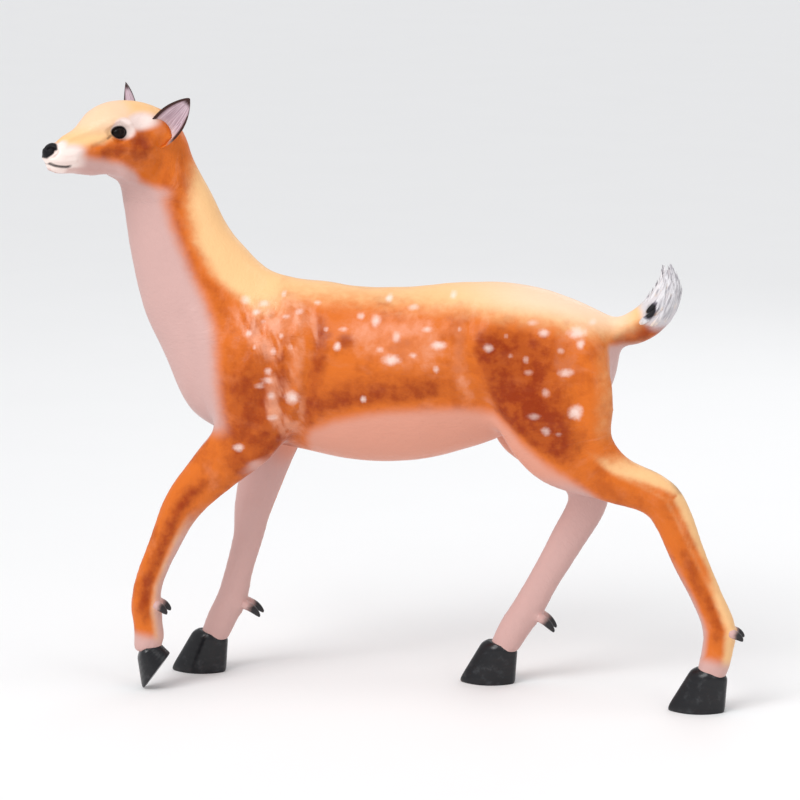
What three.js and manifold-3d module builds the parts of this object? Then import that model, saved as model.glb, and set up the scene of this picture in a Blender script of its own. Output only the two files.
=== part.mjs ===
// A walking doe cast in one piece of painted fiberglass, life size for a young sika deer.
// Millimetres, +Z up. The doe faces -X, its left flank faces -Y, and it stands on z = 0.
//
// The soft forms are modelled as a sculptor builds them in clay: each is a swelling with a
// centre line and an oval section, and all are blended into one skin. The skin is faceted
// finely and then thinned, so that flat flanks get large triangles and the head small ones.
// Ears, hooves, dewclaws and eyeballs are then joined to it, and the soles are cut flat.
import * as THREE from 'three';
import { mergeVertices } from 'three/addons/utils/BufferGeometryUtils.js';
import Module from 'manifold-3d';

// The one size in millimetres: the ground to the tip of the higher ear, roughly
const HEIGHT = 1000;

// Proportions, in thousandths of the height
const STANCE_WIDTH = 128; // between left and right feet, centre to centre
const EAR_LENGTH = 98;
const EAR_WIDTH = 48;
const EAR_THICKNESS = 6;
const EAR_CUP = 15; // how deep the ear is hollowed
const HOOF_LENGTH = 94; // along the ground, toe to heel
const HOOF_WIDTH = 52;
const HOOF_HEIGHT = 72; // ground to the front of the hoof's upper edge
const CLEFT_WIDTH = 7; // gap between the two claws of a hoof, at the toe
const DEWCLAW_LENGTH = 22;
const EYE_RADIUS = 13;
const HEAD_PLACE = [-398, -7, 915]; // middle of the skull's back end
const EYE_PLACE = [80, 31, 21]; // in the head's own frame

const HEAD_TURN = 42; // degrees that the head looks round towards the doe's left

// How finely the skin is faceted: the grid in thousandths of the height, and the triangles kept
const GRID_CELL = 6;
const CELLS_PER_BLOCK = 4;
const SKIN_TRIANGLES = 6600;

const FOOT_LINE = STANCE_WIDTH / 2;
const LEFT = -1;
const RIGHT = 1;
const LATERAL = new THREE.Vector3(0, 1, 0);
const STILL = new THREE.Matrix4();

const share = (thousandths) => (thousandths * HEIGHT) / 1000;
const placeAt = (x, y, z) => new THREE.Vector3(share(x), share(y), share(z));

// Union of two distances, rounded over a width
function blend(a, b, width) {
  const overlap = Math.max(width - Math.abs(a - b), 0) / width;
  return Math.min(a, b) - (overlap * overlap * width) / 4;
}

// Distance to an egg-shaped surface, right to first order near it
function ovalDistance(x, y, z, rx, ry, rz) {
  const [sx, sy, sz] = [x / rx, y / ry, z / rz];
  const scaled = Math.sqrt(sx * sx + sy * sy + sz * sz);
  if (scaled < 1e-6) return -Math.min(rx, ry, rz);
  const [gx, gy, gz] = [sx / rx, sy / ry, sz / rz];
  return (scaled * (scaled - 1)) / Math.sqrt(gx * gx + gy * gy + gz * gz);
}

// A swept form. Each station is [x, y, z, upper, lower, side]: its centre, and how far the
// skin lies from it above, below and to each side of the path. Caps round off the two ends.
function sweep(stations, { blendWidth, startCap, endCap, steps = 4, frame = STILL }) {
  const curve = (points) => new THREE.CatmullRomCurve3(points, false, 'catmullrom');
  const path = curve(stations.map(([x, y, z]) => placeAt(x, y, z).applyMatrix4(frame)));
  const girth = curve(stations.map((station) => placeAt(...station.slice(3))));
  const count = (stations.length - 1) * steps;
  const points = path.getPoints(count);
  const girths = girth.getPoints(count);
  const lateral = LATERAL.clone().transformDirection(frame);
  const spans = points.slice(1).map((to, i) => {
    const from = points[i];
    const length = from.distanceTo(to);
    const axis = to.clone().sub(from).divideScalar(length);
    const upper = axis.clone().cross(lateral).normalize();
    const side = upper.clone().cross(axis);
    const [here, next] = [girths[i], girths[i + 1]];
    const widest = Math.max(...here.toArray(), ...next.toArray());
    const round = 0.55 * Math.max(here.x, here.y, next.x, next.y);
    return { from, axis, length, upper, side, here, next, widest,
      startCap: i === 0 ? share(startCap) : round,
      endCap: i === count - 1 ? share(endCap) : round };
  });
  const reach = Math.max(...spans.map((span) => span.widest)) + 2 * share(blendWidth);
  const box = new THREE.Box3().setFromPoints(points).expandByScalar(reach);
  return { box, blendWidth: share(blendWidth), distance: (p) => sweptDistance(p, spans) };
}

function sweptDistance(p, spans) {
  let nearest = Infinity;
  for (const { from, axis, length, upper, side, here, next, widest, startCap, endCap } of spans) {
    const [dx, dy, dz] = [p.x - from.x, p.y - from.y, p.z - from.z];
    const along = dx * axis.x + dy * axis.y + dz * axis.z;
    const kept = Math.min(Math.max(along, 0), length);
    const square = dx * dx + dy * dy + dz * dz - 2 * along * kept + kept * kept;
    if (Math.sqrt(Math.max(square, 0)) - widest >= nearest) continue;
    const t = kept / length;
    const up = dx * upper.x + dy * upper.y + dz * upper.z;
    const aside = dx * side.x + dy * side.y + dz * side.z;
    const deep = up > 0 ? here.x + (next.x - here.x) * t : here.y + (next.y - here.y) * t;
    const wide = here.z + (next.z - here.z) * t;
    const past = along - kept;
    nearest = Math.min(nearest, ovalDistance(past, up, aside, past < 0 ? startCap : endCap, deep, wide));
  }
  return nearest;
}

// An egg-shaped swelling
function swelling(centre, radii, blendWidth, frame = STILL) {
  const middle = placeAt(...centre).applyMatrix4(frame);
  const [rx, ry, rz] = radii.map(share);
  const back = new THREE.Matrix3().setFromMatrix4(frame).transpose();
  const reach = Math.max(rx, ry, rz) + 2 * share(blendWidth);
  const box = new THREE.Box3(middle.clone(), middle.clone()).expandByScalar(reach);
  const q = new THREE.Vector3();
  const distance = (p) => {
    q.copy(p).sub(middle).applyMatrix3(back);
    return ovalDistance(q.x, q.y, q.z, rx, ry, rz);
  };
  return { box, blendWidth: share(blendWidth), distance };
}

// Barrel of the trunk, chest to rump
function trunk() {
  return sweep([
    [-318, 0, 522, 72, 70, 54],
    [-272, 0, 534, 118, 112, 80],
    [-210, 0, 548, 138, 136, 92],
    [-140, 0, 553, 136, 148, 100],
    [-50, 0, 551, 128, 162, 106],
    [40, 0, 553, 128, 160, 105],
    [125, 0, 561, 130, 142, 97],
    [205, 0, 575, 118, 122, 90],
    [275, 0, 579, 95, 112, 80],
    [335, 0, 575, 72, 96, 58],
  ], { blendWidth: 30, startCap: 40, endCap: 30 });
}

// Neck, from inside the chest up to the skull
function neck() {
  return sweep([
    [-228, 0, 560, 108, 110, 78],
    [-302, 0, 650, 112, 104, 66],
    [-345, 0, 730, 92, 86, 54],
    [-368, -1, 797, 78, 76, 47],
    [-388, -3, 858, 66, 66, 43],
    [-394, -6, 900, 50, 56, 40],
  ], { blendWidth: 40, startCap: 60, endCap: 28 });
}

// The head's own frame has x towards the nose, y towards the doe's left and z up
function headFrame() {
  const turn = THREE.MathUtils.degToRad(180 + HEAD_TURN);
  return new THREE.Matrix4().makeRotationZ(turn).setPosition(placeAt(...HEAD_PLACE));
}

function headForms(frame) {
  const forms = [sweep([
    [-14, 0, 4, 46, 54, 42],
    [34, 0, 12, 56, 64, 46],
    [80, 0, 10, 57, 62, 43],
    [114, 0, -3, 42, 50, 32],
    [144, 0, -9, 32, 38, 26],
    [170, 0, -14, 25, 28, 22],
    [184, 0, -16, 21, 22, 19],
  ], { blendWidth: 30, startCap: 30, endCap: 14, frame })];
  forms.push(swelling([188, 0, -5], [12, 14, 11], 8, frame)); // nose pad
  forms.push(swelling([170, 0, -33], [20, 14, 10], 8, frame)); // chin
  for (const hand of [LEFT, RIGHT]) {
    forms.push(swelling([48, hand * 26, -24], [42, 19, 36], 20, frame)); // cheek
    forms.push(swelling([82, hand * 29, 41], [26, 12, 9], 16, frame)); // brow
    forms.push(swelling([10, hand * 36, 18], [22, 17, 24], 16, frame)); // root of the ear
  }
  return forms;
}

// Girths are [front and back, side] at each joint from the shoulder or hip down to the coronet,
// and insets say how much further out than the foot the leg's middle lies
const FORE_GIRTHS = [
  [62, 28], [56, 32], [43, 29], [33, 25], [26, 20], [24, 19], [26, 22], [25, 21], [26, 22],
];
const FORE_INSETS = [-8, 2, 2, 1, 0, 0, 0, 0, 0];
const HIND_GIRTHS = [
  [96, 36], [102, 40], [78, 35], [43, 27], [34, 24], [29, 20], [26, 19], [27, 22], [26, 22], [26, 22],
];
const HIND_INSETS = [-12, 2, 6, 4, 0, 0, 0, 0, 0, 0];
const LEGS = {
  leftFore: [
    [-228, 560], [-218, 456], [-280, 384], [-338, 318], [-373, 246],
    [-399, 182], [-404, 140], [-400, 104], [-399, 74],
  ],
  rightFore: [
    [-228, 560], [-205, 456], [-222, 378], [-246, 292], [-255, 238],
    [-271, 180], [-284, 128], [-301, 96], [-313, 62],
  ],
  leftHind: [
    [262, 582], [276, 506], [302, 438], [372, 387], [456, 349],
    [503, 250], [531, 192], [552, 140], [549, 100], [541, 60],
  ],
  rightHind: [
    [258, 582], [246, 506], [238, 446], [282, 388], [324, 330],
    [284, 244], [251, 184], [220, 126], [200, 96], [184, 62],
  ],
};

function leg(hand, joints, girths, insets, steps) {
  const stations = joints.map(([x, z], i) =>
    [x, hand * (FOOT_LINE + insets[i]), z, girths[i][0], girths[i][0], girths[i][1]]);
  return sweep(stations, { blendWidth: 18, startCap: 40, endCap: 14, steps });
}

// Muscle over the shoulder blade and upper arm
function shoulder(hand, elbowX) {
  return sweep([
    [-186, hand * 46, 640, 32, 34, 22],
    [-232, hand * 66, 560, 52, 52, 32],
    [elbowX - 8, hand * 70, 474, 54, 54, 30],
    [elbowX + 8, hand * 66, 432, 38, 38, 24],
  ], { blendWidth: 14, startCap: 26, endCap: 20 });
}

function tail() {
  return sweep([
    [322, 0, 622, 24, 24, 24],
    [368, 0, 614, 25, 24, 22],
    [408, 0, 624, 28, 27, 24],
    [440, 0, 652, 28, 28, 25],
    [455, 0, 684, 21, 22, 21],
    [456, 0, 708, 11, 13, 11],
  ], { blendWidth: 12, startCap: 20, endCap: 14 });
}

// Signed distance to the blended skin. Far from every form it only says how far away the
// nearest one is at least.
function makeSkin(frame) {
  const forms = [
    trunk(), neck(), ...headForms(frame),
    leg(LEFT, LEGS.leftFore, FORE_GIRTHS, FORE_INSETS, 4),
    leg(RIGHT, LEGS.rightFore, FORE_GIRTHS, FORE_INSETS, 4),
    leg(LEFT, LEGS.leftHind, HIND_GIRTHS, HIND_INSETS, 6),
    leg(RIGHT, LEGS.rightHind, HIND_GIRTHS, HIND_INSETS, 6),
    shoulder(LEFT, -222), shoulder(RIGHT, -212), tail(),
  ];
  const sockets = [LEFT, RIGHT].map((hand) => eyePlace(frame, hand, EYE_RADIUS));
  return (p) => {
    let distance = Infinity;
    let bound = Infinity;
    for (const form of forms) {
      const outside = form.box.distanceToPoint(p);
      if (outside > 0) bound = Math.min(bound, outside + 2 * form.blendWidth);
      else if (distance === Infinity) distance = form.distance(p);
      else distance = blend(distance, form.distance(p), form.blendWidth);
    }
    for (const socket of sockets) {
      distance = -blend(-distance, p.distanceTo(socket) - share(EYE_RADIUS + 2), share(4));
    }
    return Math.min(distance, bound);
  };
}

function eyePlace(frame, hand, outward = 0) {
  const [x, y, z] = EYE_PLACE;
  return placeAt(x, hand * (y + outward), z).applyMatrix4(frame);
}

// Facets the zero surface of a distance inside a box: one vertex in each cube of a grid that
// the surface passes through, and one square across each grid edge that it cuts
function facet(skin, box) {
  const cell = share(GRID_CELL);
  const counts = box.getSize(new THREE.Vector3()).toArray()
    .map((side) => Math.ceil(side / (cell * CELLS_PER_BLOCK)) * CELLS_PER_BLOCK);
  const strides = [1, counts[0], counts[0] * counts[1]];
  const values = gridValues(skin, box.min, cell, counts, strides);
  fillChecks(values, strides, cell);
  const vertexIn = new Map();
  const positions = [];
  const triangles = [];

  // The middle of the places where the surface cuts a cube's edges
  function vertexOf(node) {
    if (vertexIn.has(node)) return vertexIn.get(node);
    const sum = [0, 0, 0];
    let cuts = 0;
    for (let axis = 0; axis < 3; axis += 1) {
      const [across, up] = [(axis + 1) % 3, (axis + 2) % 3];
      for (const [b, c] of [[0, 0], [1, 0], [0, 1], [1, 1]]) {
        const from = node + b * strides[across] + c * strides[up];
        const [here, next] = [values[from], values[from + strides[axis]]];
        if (here < 0 === next < 0) continue;
        sum[axis] += here / (here - next);
        sum[across] += b;
        sum[up] += c;
        cuts += 1;
      }
    }
    const cube = [node, node % strides[2], node % strides[1]].reverse()
      .map((rest, axis) => Math.floor(rest / strides[axis]));
    vertexIn.set(node, positions.length / 3);
    positions.push(...cube.map((at, axis) => box.min.getComponent(axis) + (at + sum[axis] / cuts) * cell));
    return vertexIn.get(node);
  }

  const offset = (a, b, axis) => positions[a * 3 + axis] - positions[b * 3 + axis];
  const gap = (a, b) => Math.hypot(offset(a, b, 0), offset(a, b, 1), offset(a, b, 2));
  for (let node = 0; node < values.length - strides[2]; node += 1) {
    for (let axis = 0; axis < 3; axis += 1) {
      if (values[node] < 0 === values[node + strides[axis]] < 0) continue;
      const [b, c] = [strides[(axis + 1) % 3], strides[(axis + 2) % 3]];
      const square = [node, node - b, node - b - c, node - c].map(vertexOf);
      if (values[node] >= 0) square.reverse();
      if (gap(square[0], square[2]) > gap(square[1], square[3])) square.push(square.shift());
      triangles.push(square[0], square[1], square[2], square[0], square[2], square[3]);
    }
  }
  return { positions, triangles };
}

// The distance at each node of a grid. Blocks that the surface can't reach get one value.
function gridValues(skin, corner, cell, counts, strides) {
  const values = new Float32Array(counts[0] * counts[1] * counts[2]);
  const reach = cell * CELLS_PER_BLOCK * 1.1;
  const point = new THREE.Vector3();
  const valueAt = (i, j, k) => skin(point.set(i, j, k).multiplyScalar(cell).add(corner));
  const middle = (CELLS_PER_BLOCK - 1) / 2;
  const size = CELLS_PER_BLOCK;
  for (let k = 0; k < counts[2]; k += size) {
    for (let j = 0; j < counts[1]; j += size) {
      for (let i = 0; i < counts[0]; i += size) {
        const far = valueAt(i + middle, j + middle, k + middle);
        for (let at = 0; at < size ** 3; at += 1) {
          const [x, y] = [i + (at % size), j + (Math.floor(at / size) % size)];
          const z = k + Math.floor(at / size / size);
          values[x + y * strides[1] + z * strides[2]] = Math.abs(far) > reach ? far : valueAt(x, y, z);
        }
      }
    }
  }
  return values;
}

// Fills one corner of each checkered square of the grid, where the skin would touch itself
function fillChecks(values, strides, cell) {
  const last = values.length - strides[1] - strides[2];
  let filled = true;
  while (filled) {
    filled = false;
    for (let axis = 0; axis < 3; axis += 1) {
      const [b, c] = [strides[axis], strides[(axis + 1) % 3]];
      for (let node = 0; node < last; node += 1) {
        const inside = values[node] < 0;
        if (inside !== values[node + b + c] < 0) continue;
        if (inside === values[node + b] < 0 || inside === values[node + c] < 0) continue;
        const empty = inside ? [node + b, node + c] : [node, node + b + c];
        values[values[empty[0]] < values[empty[1]] ? empty[0] : empty[1]] = -cell / 20;
        filled = true;
      }
    }
  }
}

// A heap that gives back the entry with the least cost first
class CheapestFirst {
  constructor() { this.entries = []; }

  push(entry) {
    const { entries } = this;
    let at = entries.push(entry) - 1;
    while (at > 0) {
      const parent = (at - 1) >> 1;
      if (entries[parent].cost <= entry.cost) break;
      entries[at] = entries[parent];
      at = parent;
    }
    entries[at] = entry;
  }

  pop() {
    const { entries } = this;
    const [first] = entries;
    const last = entries.pop();
    if (entries.length === 0) return first;
    let at = 0;
    for (;;) {
      let child = at * 2 + 1;
      if (child >= entries.length) break;
      if (child + 1 < entries.length && entries[child + 1].cost < entries[child].cost) child += 1;
      if (entries[child].cost >= last.cost) break;
      entries[at] = entries[child];
      at = child;
    }
    entries[at] = last;
    return first;
  }
}

// Thins a closed mesh by folding up its cheapest edges: those whose loss moves the surface
// least, by the squared distances to the planes of the triangles round them. care(point)
// says how much more a place matters than a flank does.
function thin({ positions, triangles }, budget, care) {
  const vertexCount = positions.length / 3;
  const quadrics = new Float64Array(vertexCount * 10);
  const version = new Uint32Array(vertexCount);
  const around = Array.from({ length: vertexCount }, () => []);
  const corner = (v) => new THREE.Vector3().fromArray(positions, v * 3);
  const normalOf = (a, b, c) => b.clone().sub(a).cross(c.clone().sub(a));
  const faces = [];
  for (let i = 0; i < triangles.length; i += 3) {
    const face = triangles.slice(i, i + 3);
    const [a, b, c] = face.map(corner);
    const normal = normalOf(a, b, c);
    const area = normal.length();
    normal.divideScalar(area || 1);
    const plane = [normal.x, normal.y, normal.z, -normal.dot(a)];
    const weight = area * care(a);
    face.forEach((v) => {
      around[v].push(faces.length);
      let slot = v * 10;
      for (let r = 0; r < 4; r += 1) {
        for (let s = r; s < 4; s += 1) {
          quadrics[slot] += weight * plane[r] * plane[s];
          slot += 1;
        }
      }
    });
    faces.push(face);
  }

  function costAt(q, { x, y, z }) {
    return q[0] * x * x + 2 * q[1] * x * y + 2 * q[2] * x * z + 2 * q[3] * x
      + q[4] * y * y + 2 * q[5] * y * z + 2 * q[6] * y + q[7] * z * z + 2 * q[8] * z + q[9];
  }

  // The place that an edge folds into, and what that costs. Long edges cost a little more.
  function fold(a, b) {
    const q = new Float64Array(10);
    for (let i = 0; i < 10; i += 1) q[i] = quadrics[a * 10 + i] + quadrics[b * 10 + i];
    const [from, to] = [corner(a), corner(b)];
    const span = from.distanceToSquared(to);
    let target = from.clone().add(to).multiplyScalar(0.5);
    const system = new THREE.Matrix3().set(q[0], q[1], q[2], q[1], q[4], q[5], q[2], q[5], q[7]);
    const scale = q[0] + q[4] + q[7];
    if (Math.abs(system.determinant()) > 1e-4 * scale ** 3) {
      const best = new THREE.Vector3(-q[3], -q[6], -q[8]).applyMatrix3(system.invert());
      if (best.distanceToSquared(target) < span) target = best;
    }
    const shape = 2e-4 * span * scale;
    return { cost: Math.max(costAt(q, target), 0) + shape, a, b, target, versions: [version[a], version[b]] };
  }

  const neighbours = (v) => new Set(around[v].flatMap((f) => faces[f]).filter((other) => other !== v));
  function mayFold({ a, b, target }) {
    const shared = [...neighbours(a)].filter((v) => neighbours(b).has(v));
    if (shared.length !== 2) return false;
    return [a, b].every((v) => around[v].every((f) => {
      const face = faces[f];
      if (face.includes(a) && face.includes(b)) return true;
      const before = normalOf(...face.map(corner));
      const after = normalOf(...face.map((other) => (other === v ? target : corner(other))));
      return before.dot(after) > 0.35 * before.length() * after.length();
    }));
  }

  const heap = new CheapestFirst();
  faces.forEach((face) => face.forEach((a, i) => {
    const b = face[(i + 1) % 3];
    if (a < b) heap.push(fold(a, b));
  }));
  let left = faces.length;
  while (left > budget && heap.entries.length > 0) {
    const edge = heap.pop();
    const { a, b, target, versions } = edge;
    if (version[a] !== versions[0] || version[b] !== versions[1] || !mayFold(edge)) continue;
    target.toArray(positions, a * 3);
    for (let i = 0; i < 10; i += 1) quadrics[a * 10 + i] += quadrics[b * 10 + i];
    const lost = around[a].filter((f) => faces[f].includes(b));
    lost.forEach((f) => faces[f].forEach((v) => { around[v] = around[v].filter((other) => other !== f); }));
    lost.forEach((f) => { faces[f] = null; });
    around[b].forEach((f) => { faces[f] = faces[f].map((v) => (v === b ? a : v)); });
    around[a].push(...around[b]);
    around[b] = [];
    left -= lost.length;
    version[a] += 1;
    version[b] += 1;
    neighbours(a).forEach((v) => heap.push(fold(a, v)));
  }
  return { positions, triangles: faces.filter((face) => face !== null).flat() };
}

// A closed mesh from rings of as many points each, with its ends closed by fans
function loft(rings) {
  const count = rings[0].length;
  const positions = rings.flat().flatMap((p) => p.toArray());
  const triangles = [];
  for (let r = 0; r + 1 < rings.length; r += 1) {
    for (let i = 0; i < count; i += 1) {
      const [a, b] = [r * count + i, r * count + ((i + 1) % count)];
      triangles.push(a, b, a + count, b, b + count, a + count);
    }
  }
  [[rings[0], 0], [rings[rings.length - 1], (rings.length - 1) * count]].forEach(([ring, start], last) => {
    const middle = ring.reduce((sum, p) => sum.add(p), new THREE.Vector3()).divideScalar(count);
    const hub = positions.length / 3;
    positions.push(...middle.toArray());
    for (let i = 0; i < count; i += 1) {
      const [a, b] = [start + i, start + ((i + 1) % count)];
      triangles.push(hub, ...(last ? [a, b] : [b, a]));
    }
  });
  return { positions, triangles };
}

// A cupped leaf that stands out, up and back from the skull. The left ear opens forwards and
// outwards, and the right ear is pricked a little higher and turned straight ahead.
function ear(frame, hand) {
  const out = -hand; // the head's own y runs to the left
  const [back, aside, up] = hand === LEFT ? [0.26, 0.68, 0.68] : [0.18, 0.6, 0.78];
  const stem = new THREE.Vector3(-back, out * aside, up).normalize();
  const opening = new THREE.Vector3(0.7, out * (hand === LEFT ? 0.65 : 0.05), 0);
  opening.addScaledVector(stem, -opening.dot(stem)).normalize();
  const across = opening.clone().cross(stem);
  const place = new THREE.Matrix4().makeBasis(stem, across, opening);
  place.setPosition(placeAt(8, out * 36, 12));
  const toWorld = place.premultiply(frame);
  const buried = 0.12;
  const stations = 10;
  const sides = 12;
  const rings = [];
  for (let s = 0; s <= stations; s += 1) {
    const t = s / stations;
    const along = (t * (1 + buried) - buried) * share(EAR_LENGTH);
    const leaf = Math.sin(Math.PI * (0.14 + 0.86 * t) ** 0.92) ** 0.7;
    const half = share(EAR_WIDTH / 2) * Math.max(leaf, 0.06);
    const thick = share(EAR_THICKNESS) * (0.5 + 0.9 * (1 - t) ** 2);
    const cup = share(EAR_CUP) * Math.max(leaf, 0.06) * (1 - 0.3 * t);
    const curl = share(8) * t * t;
    rings.push([...Array(sides).keys()].map((i) => {
      const angle = (2 * Math.PI * i) / sides;
      const bowl = cup * (Math.cos(angle) ** 2 - 0.5) + curl;
      const point = new THREE.Vector3(along, half * Math.cos(angle), bowl + thick * Math.sin(angle));
      return point.applyMatrix4(toWorld);
    }));
  }
  return loft(rings);
}

// One hoof's place: the middle of its coronet, how far the toe is turned down, its size, how
// much of its length the front wall leans back over, and how far the coronet drops to the heel
const HOOVES = [
  { hand: LEFT, x: -402, z: 68.5, tip: 54, long: 0.82, high: 0.58, rake: 0.5, drop: 0.75 },
  { hand: RIGHT, x: -318, z: 63, tip: 0, long: 1, high: 1, rake: 0.4, drop: 0.3 },
  { hand: LEFT, x: 541, z: 63, tip: 0, long: 1, high: 1, rake: 0.4, drop: 0.3 },
  { hand: RIGHT, x: 179, z: 63, tip: 0, long: 1, high: 1, rake: 0.4, drop: 0.3 },
];

// One of a hoof's two claws. Its rings run from the sole up to the coronet, each with a flat
// inner wall along the cleft and an outer wall that curves in to a blunt toe.
function claw({ hand, x, z, tip, long, high, rake, drop }, side) {
  const turn = THREE.MathUtils.degToRad(tip);
  const place = new THREE.Matrix4().makeRotationY(-turn).multiply(new THREE.Matrix4().makeScale(-1, side, 1));
  place.setPosition(placeAt(x, hand * FOOT_LINE, z));
  const [length, height, width] = [HOOF_LENGTH * long, HOOF_HEIGHT * high, HOOF_WIDTH].map(share);
  const cleft = share(CLEFT_WIDTH);
  const levels = [-0.03, 0.1, 0.4, 0.75, 0.97, 1.06];
  const wallPoints = 7;
  const rings = levels.map((level, at) => {
    const inset = at === levels.length - 1 ? 0.16 : 0.02 * (at === 0);
    const toe = length * (0.76 - rake * Math.max(level - 0.1, 0) / 0.9 - inset);
    const heel = length * (-0.24 - 0.04 * level + inset);
    const lift = height * (level - 0.9);
    const outer = (width / 2) * (1.04 - 0.16 * level - inset);
    const points = [];
    const seam = share(level > 0.5 ? 3 : 2);
    for (let i = 0; i <= wallPoints; i += 1) {
      const u = i / wallPoints;
      const bulge = Math.sin(Math.PI * (0.16 + 0.76 * u)) ** 0.6;
      points.push([heel + (toe - heel) * u, Math.max(outer * bulge, cleft)]);
    }
    for (let i = wallPoints; i >= 0; i -= wallPoints) {
      const gap = (cleft / 2 + seam) * (i / wallPoints) * (1 - level) - seam;
      points.push([heel + (toe - heel) * (i / wallPoints) * 0.97, gap]);
    }
    const slant = (px) => 1 - level ** 2 * drop * ((toe - px) / length);
    return points.map(([px, py]) =>
      new THREE.Vector3(px, py, lift + height * 0.9 * (slant(px) - 1)).applyMatrix4(place));
  });
  if (side < 0) rings.forEach((ring) => ring.reverse());
  return loft(rings);
}

// A small pointed claw behind a fetlock
function dewclaw({ hand, x, z, lean, reach }, side) {
  const back = new THREE.Vector3(Math.cos(lean), side * 0.15, -Math.sin(lean)).normalize();
  const aside = LATERAL.clone().cross(back).normalize();
  const over = back.clone().cross(aside);
  const root = placeAt(x, hand * FOOT_LINE + side * 11, z);
  const rings = [[-0.4, 8], [0.5, 7.5], [1, 3]].map(([along, radius]) =>
    [...Array(6).keys()].map((i) => {
      const angle = (2 * Math.PI * i) / 6;
      return root.clone().addScaledVector(back, share(DEWCLAW_LENGTH * reach * along))
        .addScaledVector(aside, share(radius) * Math.cos(angle))
        .addScaledVector(over, share(radius) * Math.sin(angle));
    }));
  return loft(rings);
}

// Where the dewclaws stand behind each fetlock, how far they droop and how far they reach
const FETLOCKS = [
  { hand: LEFT, x: -390, z: 148, lean: 0.35, reach: 1 },
  { hand: RIGHT, x: -268, z: 124, lean: 0.35, reach: 1.4 },
  { hand: LEFT, x: 566, z: 136, lean: 0.2, reach: 1 },
  { hand: RIGHT, x: 236, z: 122, lean: 0.5, reach: 1.4 },
];

function meshOf(geometry) {
  ['normal', 'uv'].forEach((name) => geometry.deleteAttribute(name));
  const merged = mergeVertices(geometry);
  return { positions: [...merged.attributes.position.array], triangles: [...merged.index.array] };
}

function eyeball(frame, hand) {
  const ball = new THREE.SphereGeometry(share(EYE_RADIUS), 14, 10);
  ball.translate(...eyePlace(frame, hand).toArray());
  return meshOf(ball);
}

const wasm = await Module();
wasm.setup();

function solidOf({ positions, triangles }) {
  return new wasm.Manifold(new wasm.Mesh({
    numProp: 3, vertProperties: new Float32Array(positions), triVerts: new Uint32Array(triangles),
  }));
}

// The whole casting, with its soles cut flat at z = 0
function casting() {
  const frame = headFrame();
  const room = new THREE.Box3(placeAt(-640, -190, 20), placeAt(640, 190, 1010));
  const face = placeAt(110, 0, 0).applyMatrix4(frame);
  const care = (p) => 1 + 9 * THREE.MathUtils.smoothstep(share(230) - p.distanceTo(face), 0, share(120));
  const added = [];
  for (const side of [LEFT, RIGHT]) {
    added.push(ear(frame, side), eyeball(frame, side));
    HOOVES.forEach((hoof) => added.push(claw(hoof, side)));
    FETLOCKS.forEach((fetlock) => added.push(dewclaw(fetlock, side)));
  }
  const skin = thin(facet(makeSkin(frame), room), SKIN_TRIANGLES, care);
  const whole = added.map(solidOf).reduce((sum, piece) => sum.add(piece), solidOf(skin));
  const floor = new THREE.BoxGeometry(share(2000), share(1000), share(100)).translate(0, 0, -share(50));
  return whole.subtract(solidOf(meshOf(floor)));
}

const cast = casting().getMesh();
const geometry = new THREE.BufferGeometry();
geometry.setAttribute('position', new THREE.Float32BufferAttribute(cast.vertProperties, 3));
geometry.setIndex([...cast.triVerts]);
geometry.computeBoundingBox();
const middle = geometry.boundingBox.getCenter(new THREE.Vector3());
geometry.translate(-middle.x, -middle.y, -geometry.boundingBox.min.z);

const varnishedPaint = new THREE.MeshStandardMaterial({ color: 0xcc6a28, roughness: 0.3, metalness: 0 });
const doe = new THREE.Mesh(geometry, varnishedPaint);
doe.name = 'doe_casting';
const statue = new THREE.Group();
statue.name = 'fiberglass_doe';
statue.add(doe);
export default statue;
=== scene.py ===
"""Looks of the walking doe: sculpted skin, ears, eyes, hooves, dewclaws, paint and studio.

Places on the doe are given in millimetres from between its feet: x runs towards the tail,
y to its right and z up. Places on the head are given in the head's own frame: x towards the
nose, y out to either side and z up.
"""

import math

import bmesh
import bpy
import numpy as np
from mathutils import Matrix, Vector, noise
from mathutils.bvhtree import BVHTree


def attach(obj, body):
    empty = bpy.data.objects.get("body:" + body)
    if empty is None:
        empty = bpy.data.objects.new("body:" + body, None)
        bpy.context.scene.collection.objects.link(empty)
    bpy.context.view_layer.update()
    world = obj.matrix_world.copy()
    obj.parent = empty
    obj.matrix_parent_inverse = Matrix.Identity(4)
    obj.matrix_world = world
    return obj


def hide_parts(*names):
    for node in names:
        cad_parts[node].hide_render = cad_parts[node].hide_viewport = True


bl_info = {
    "name": "Walking doe",
    "version": (1, 0, 0),
    "blender": (4, 5, 0),
    "location": "View3D > Sidebar > Doe",
    "description": "Sculpts, paints and lights the painted fiberglass doe",
    "category": "Object",
}

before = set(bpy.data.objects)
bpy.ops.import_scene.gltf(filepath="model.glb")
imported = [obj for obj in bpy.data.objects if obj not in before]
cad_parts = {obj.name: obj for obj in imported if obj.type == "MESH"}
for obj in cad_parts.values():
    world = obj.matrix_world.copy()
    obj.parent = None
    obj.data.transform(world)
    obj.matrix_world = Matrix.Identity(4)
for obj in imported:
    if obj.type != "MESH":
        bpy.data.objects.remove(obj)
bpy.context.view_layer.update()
CASTING = "doe_casting"

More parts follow.
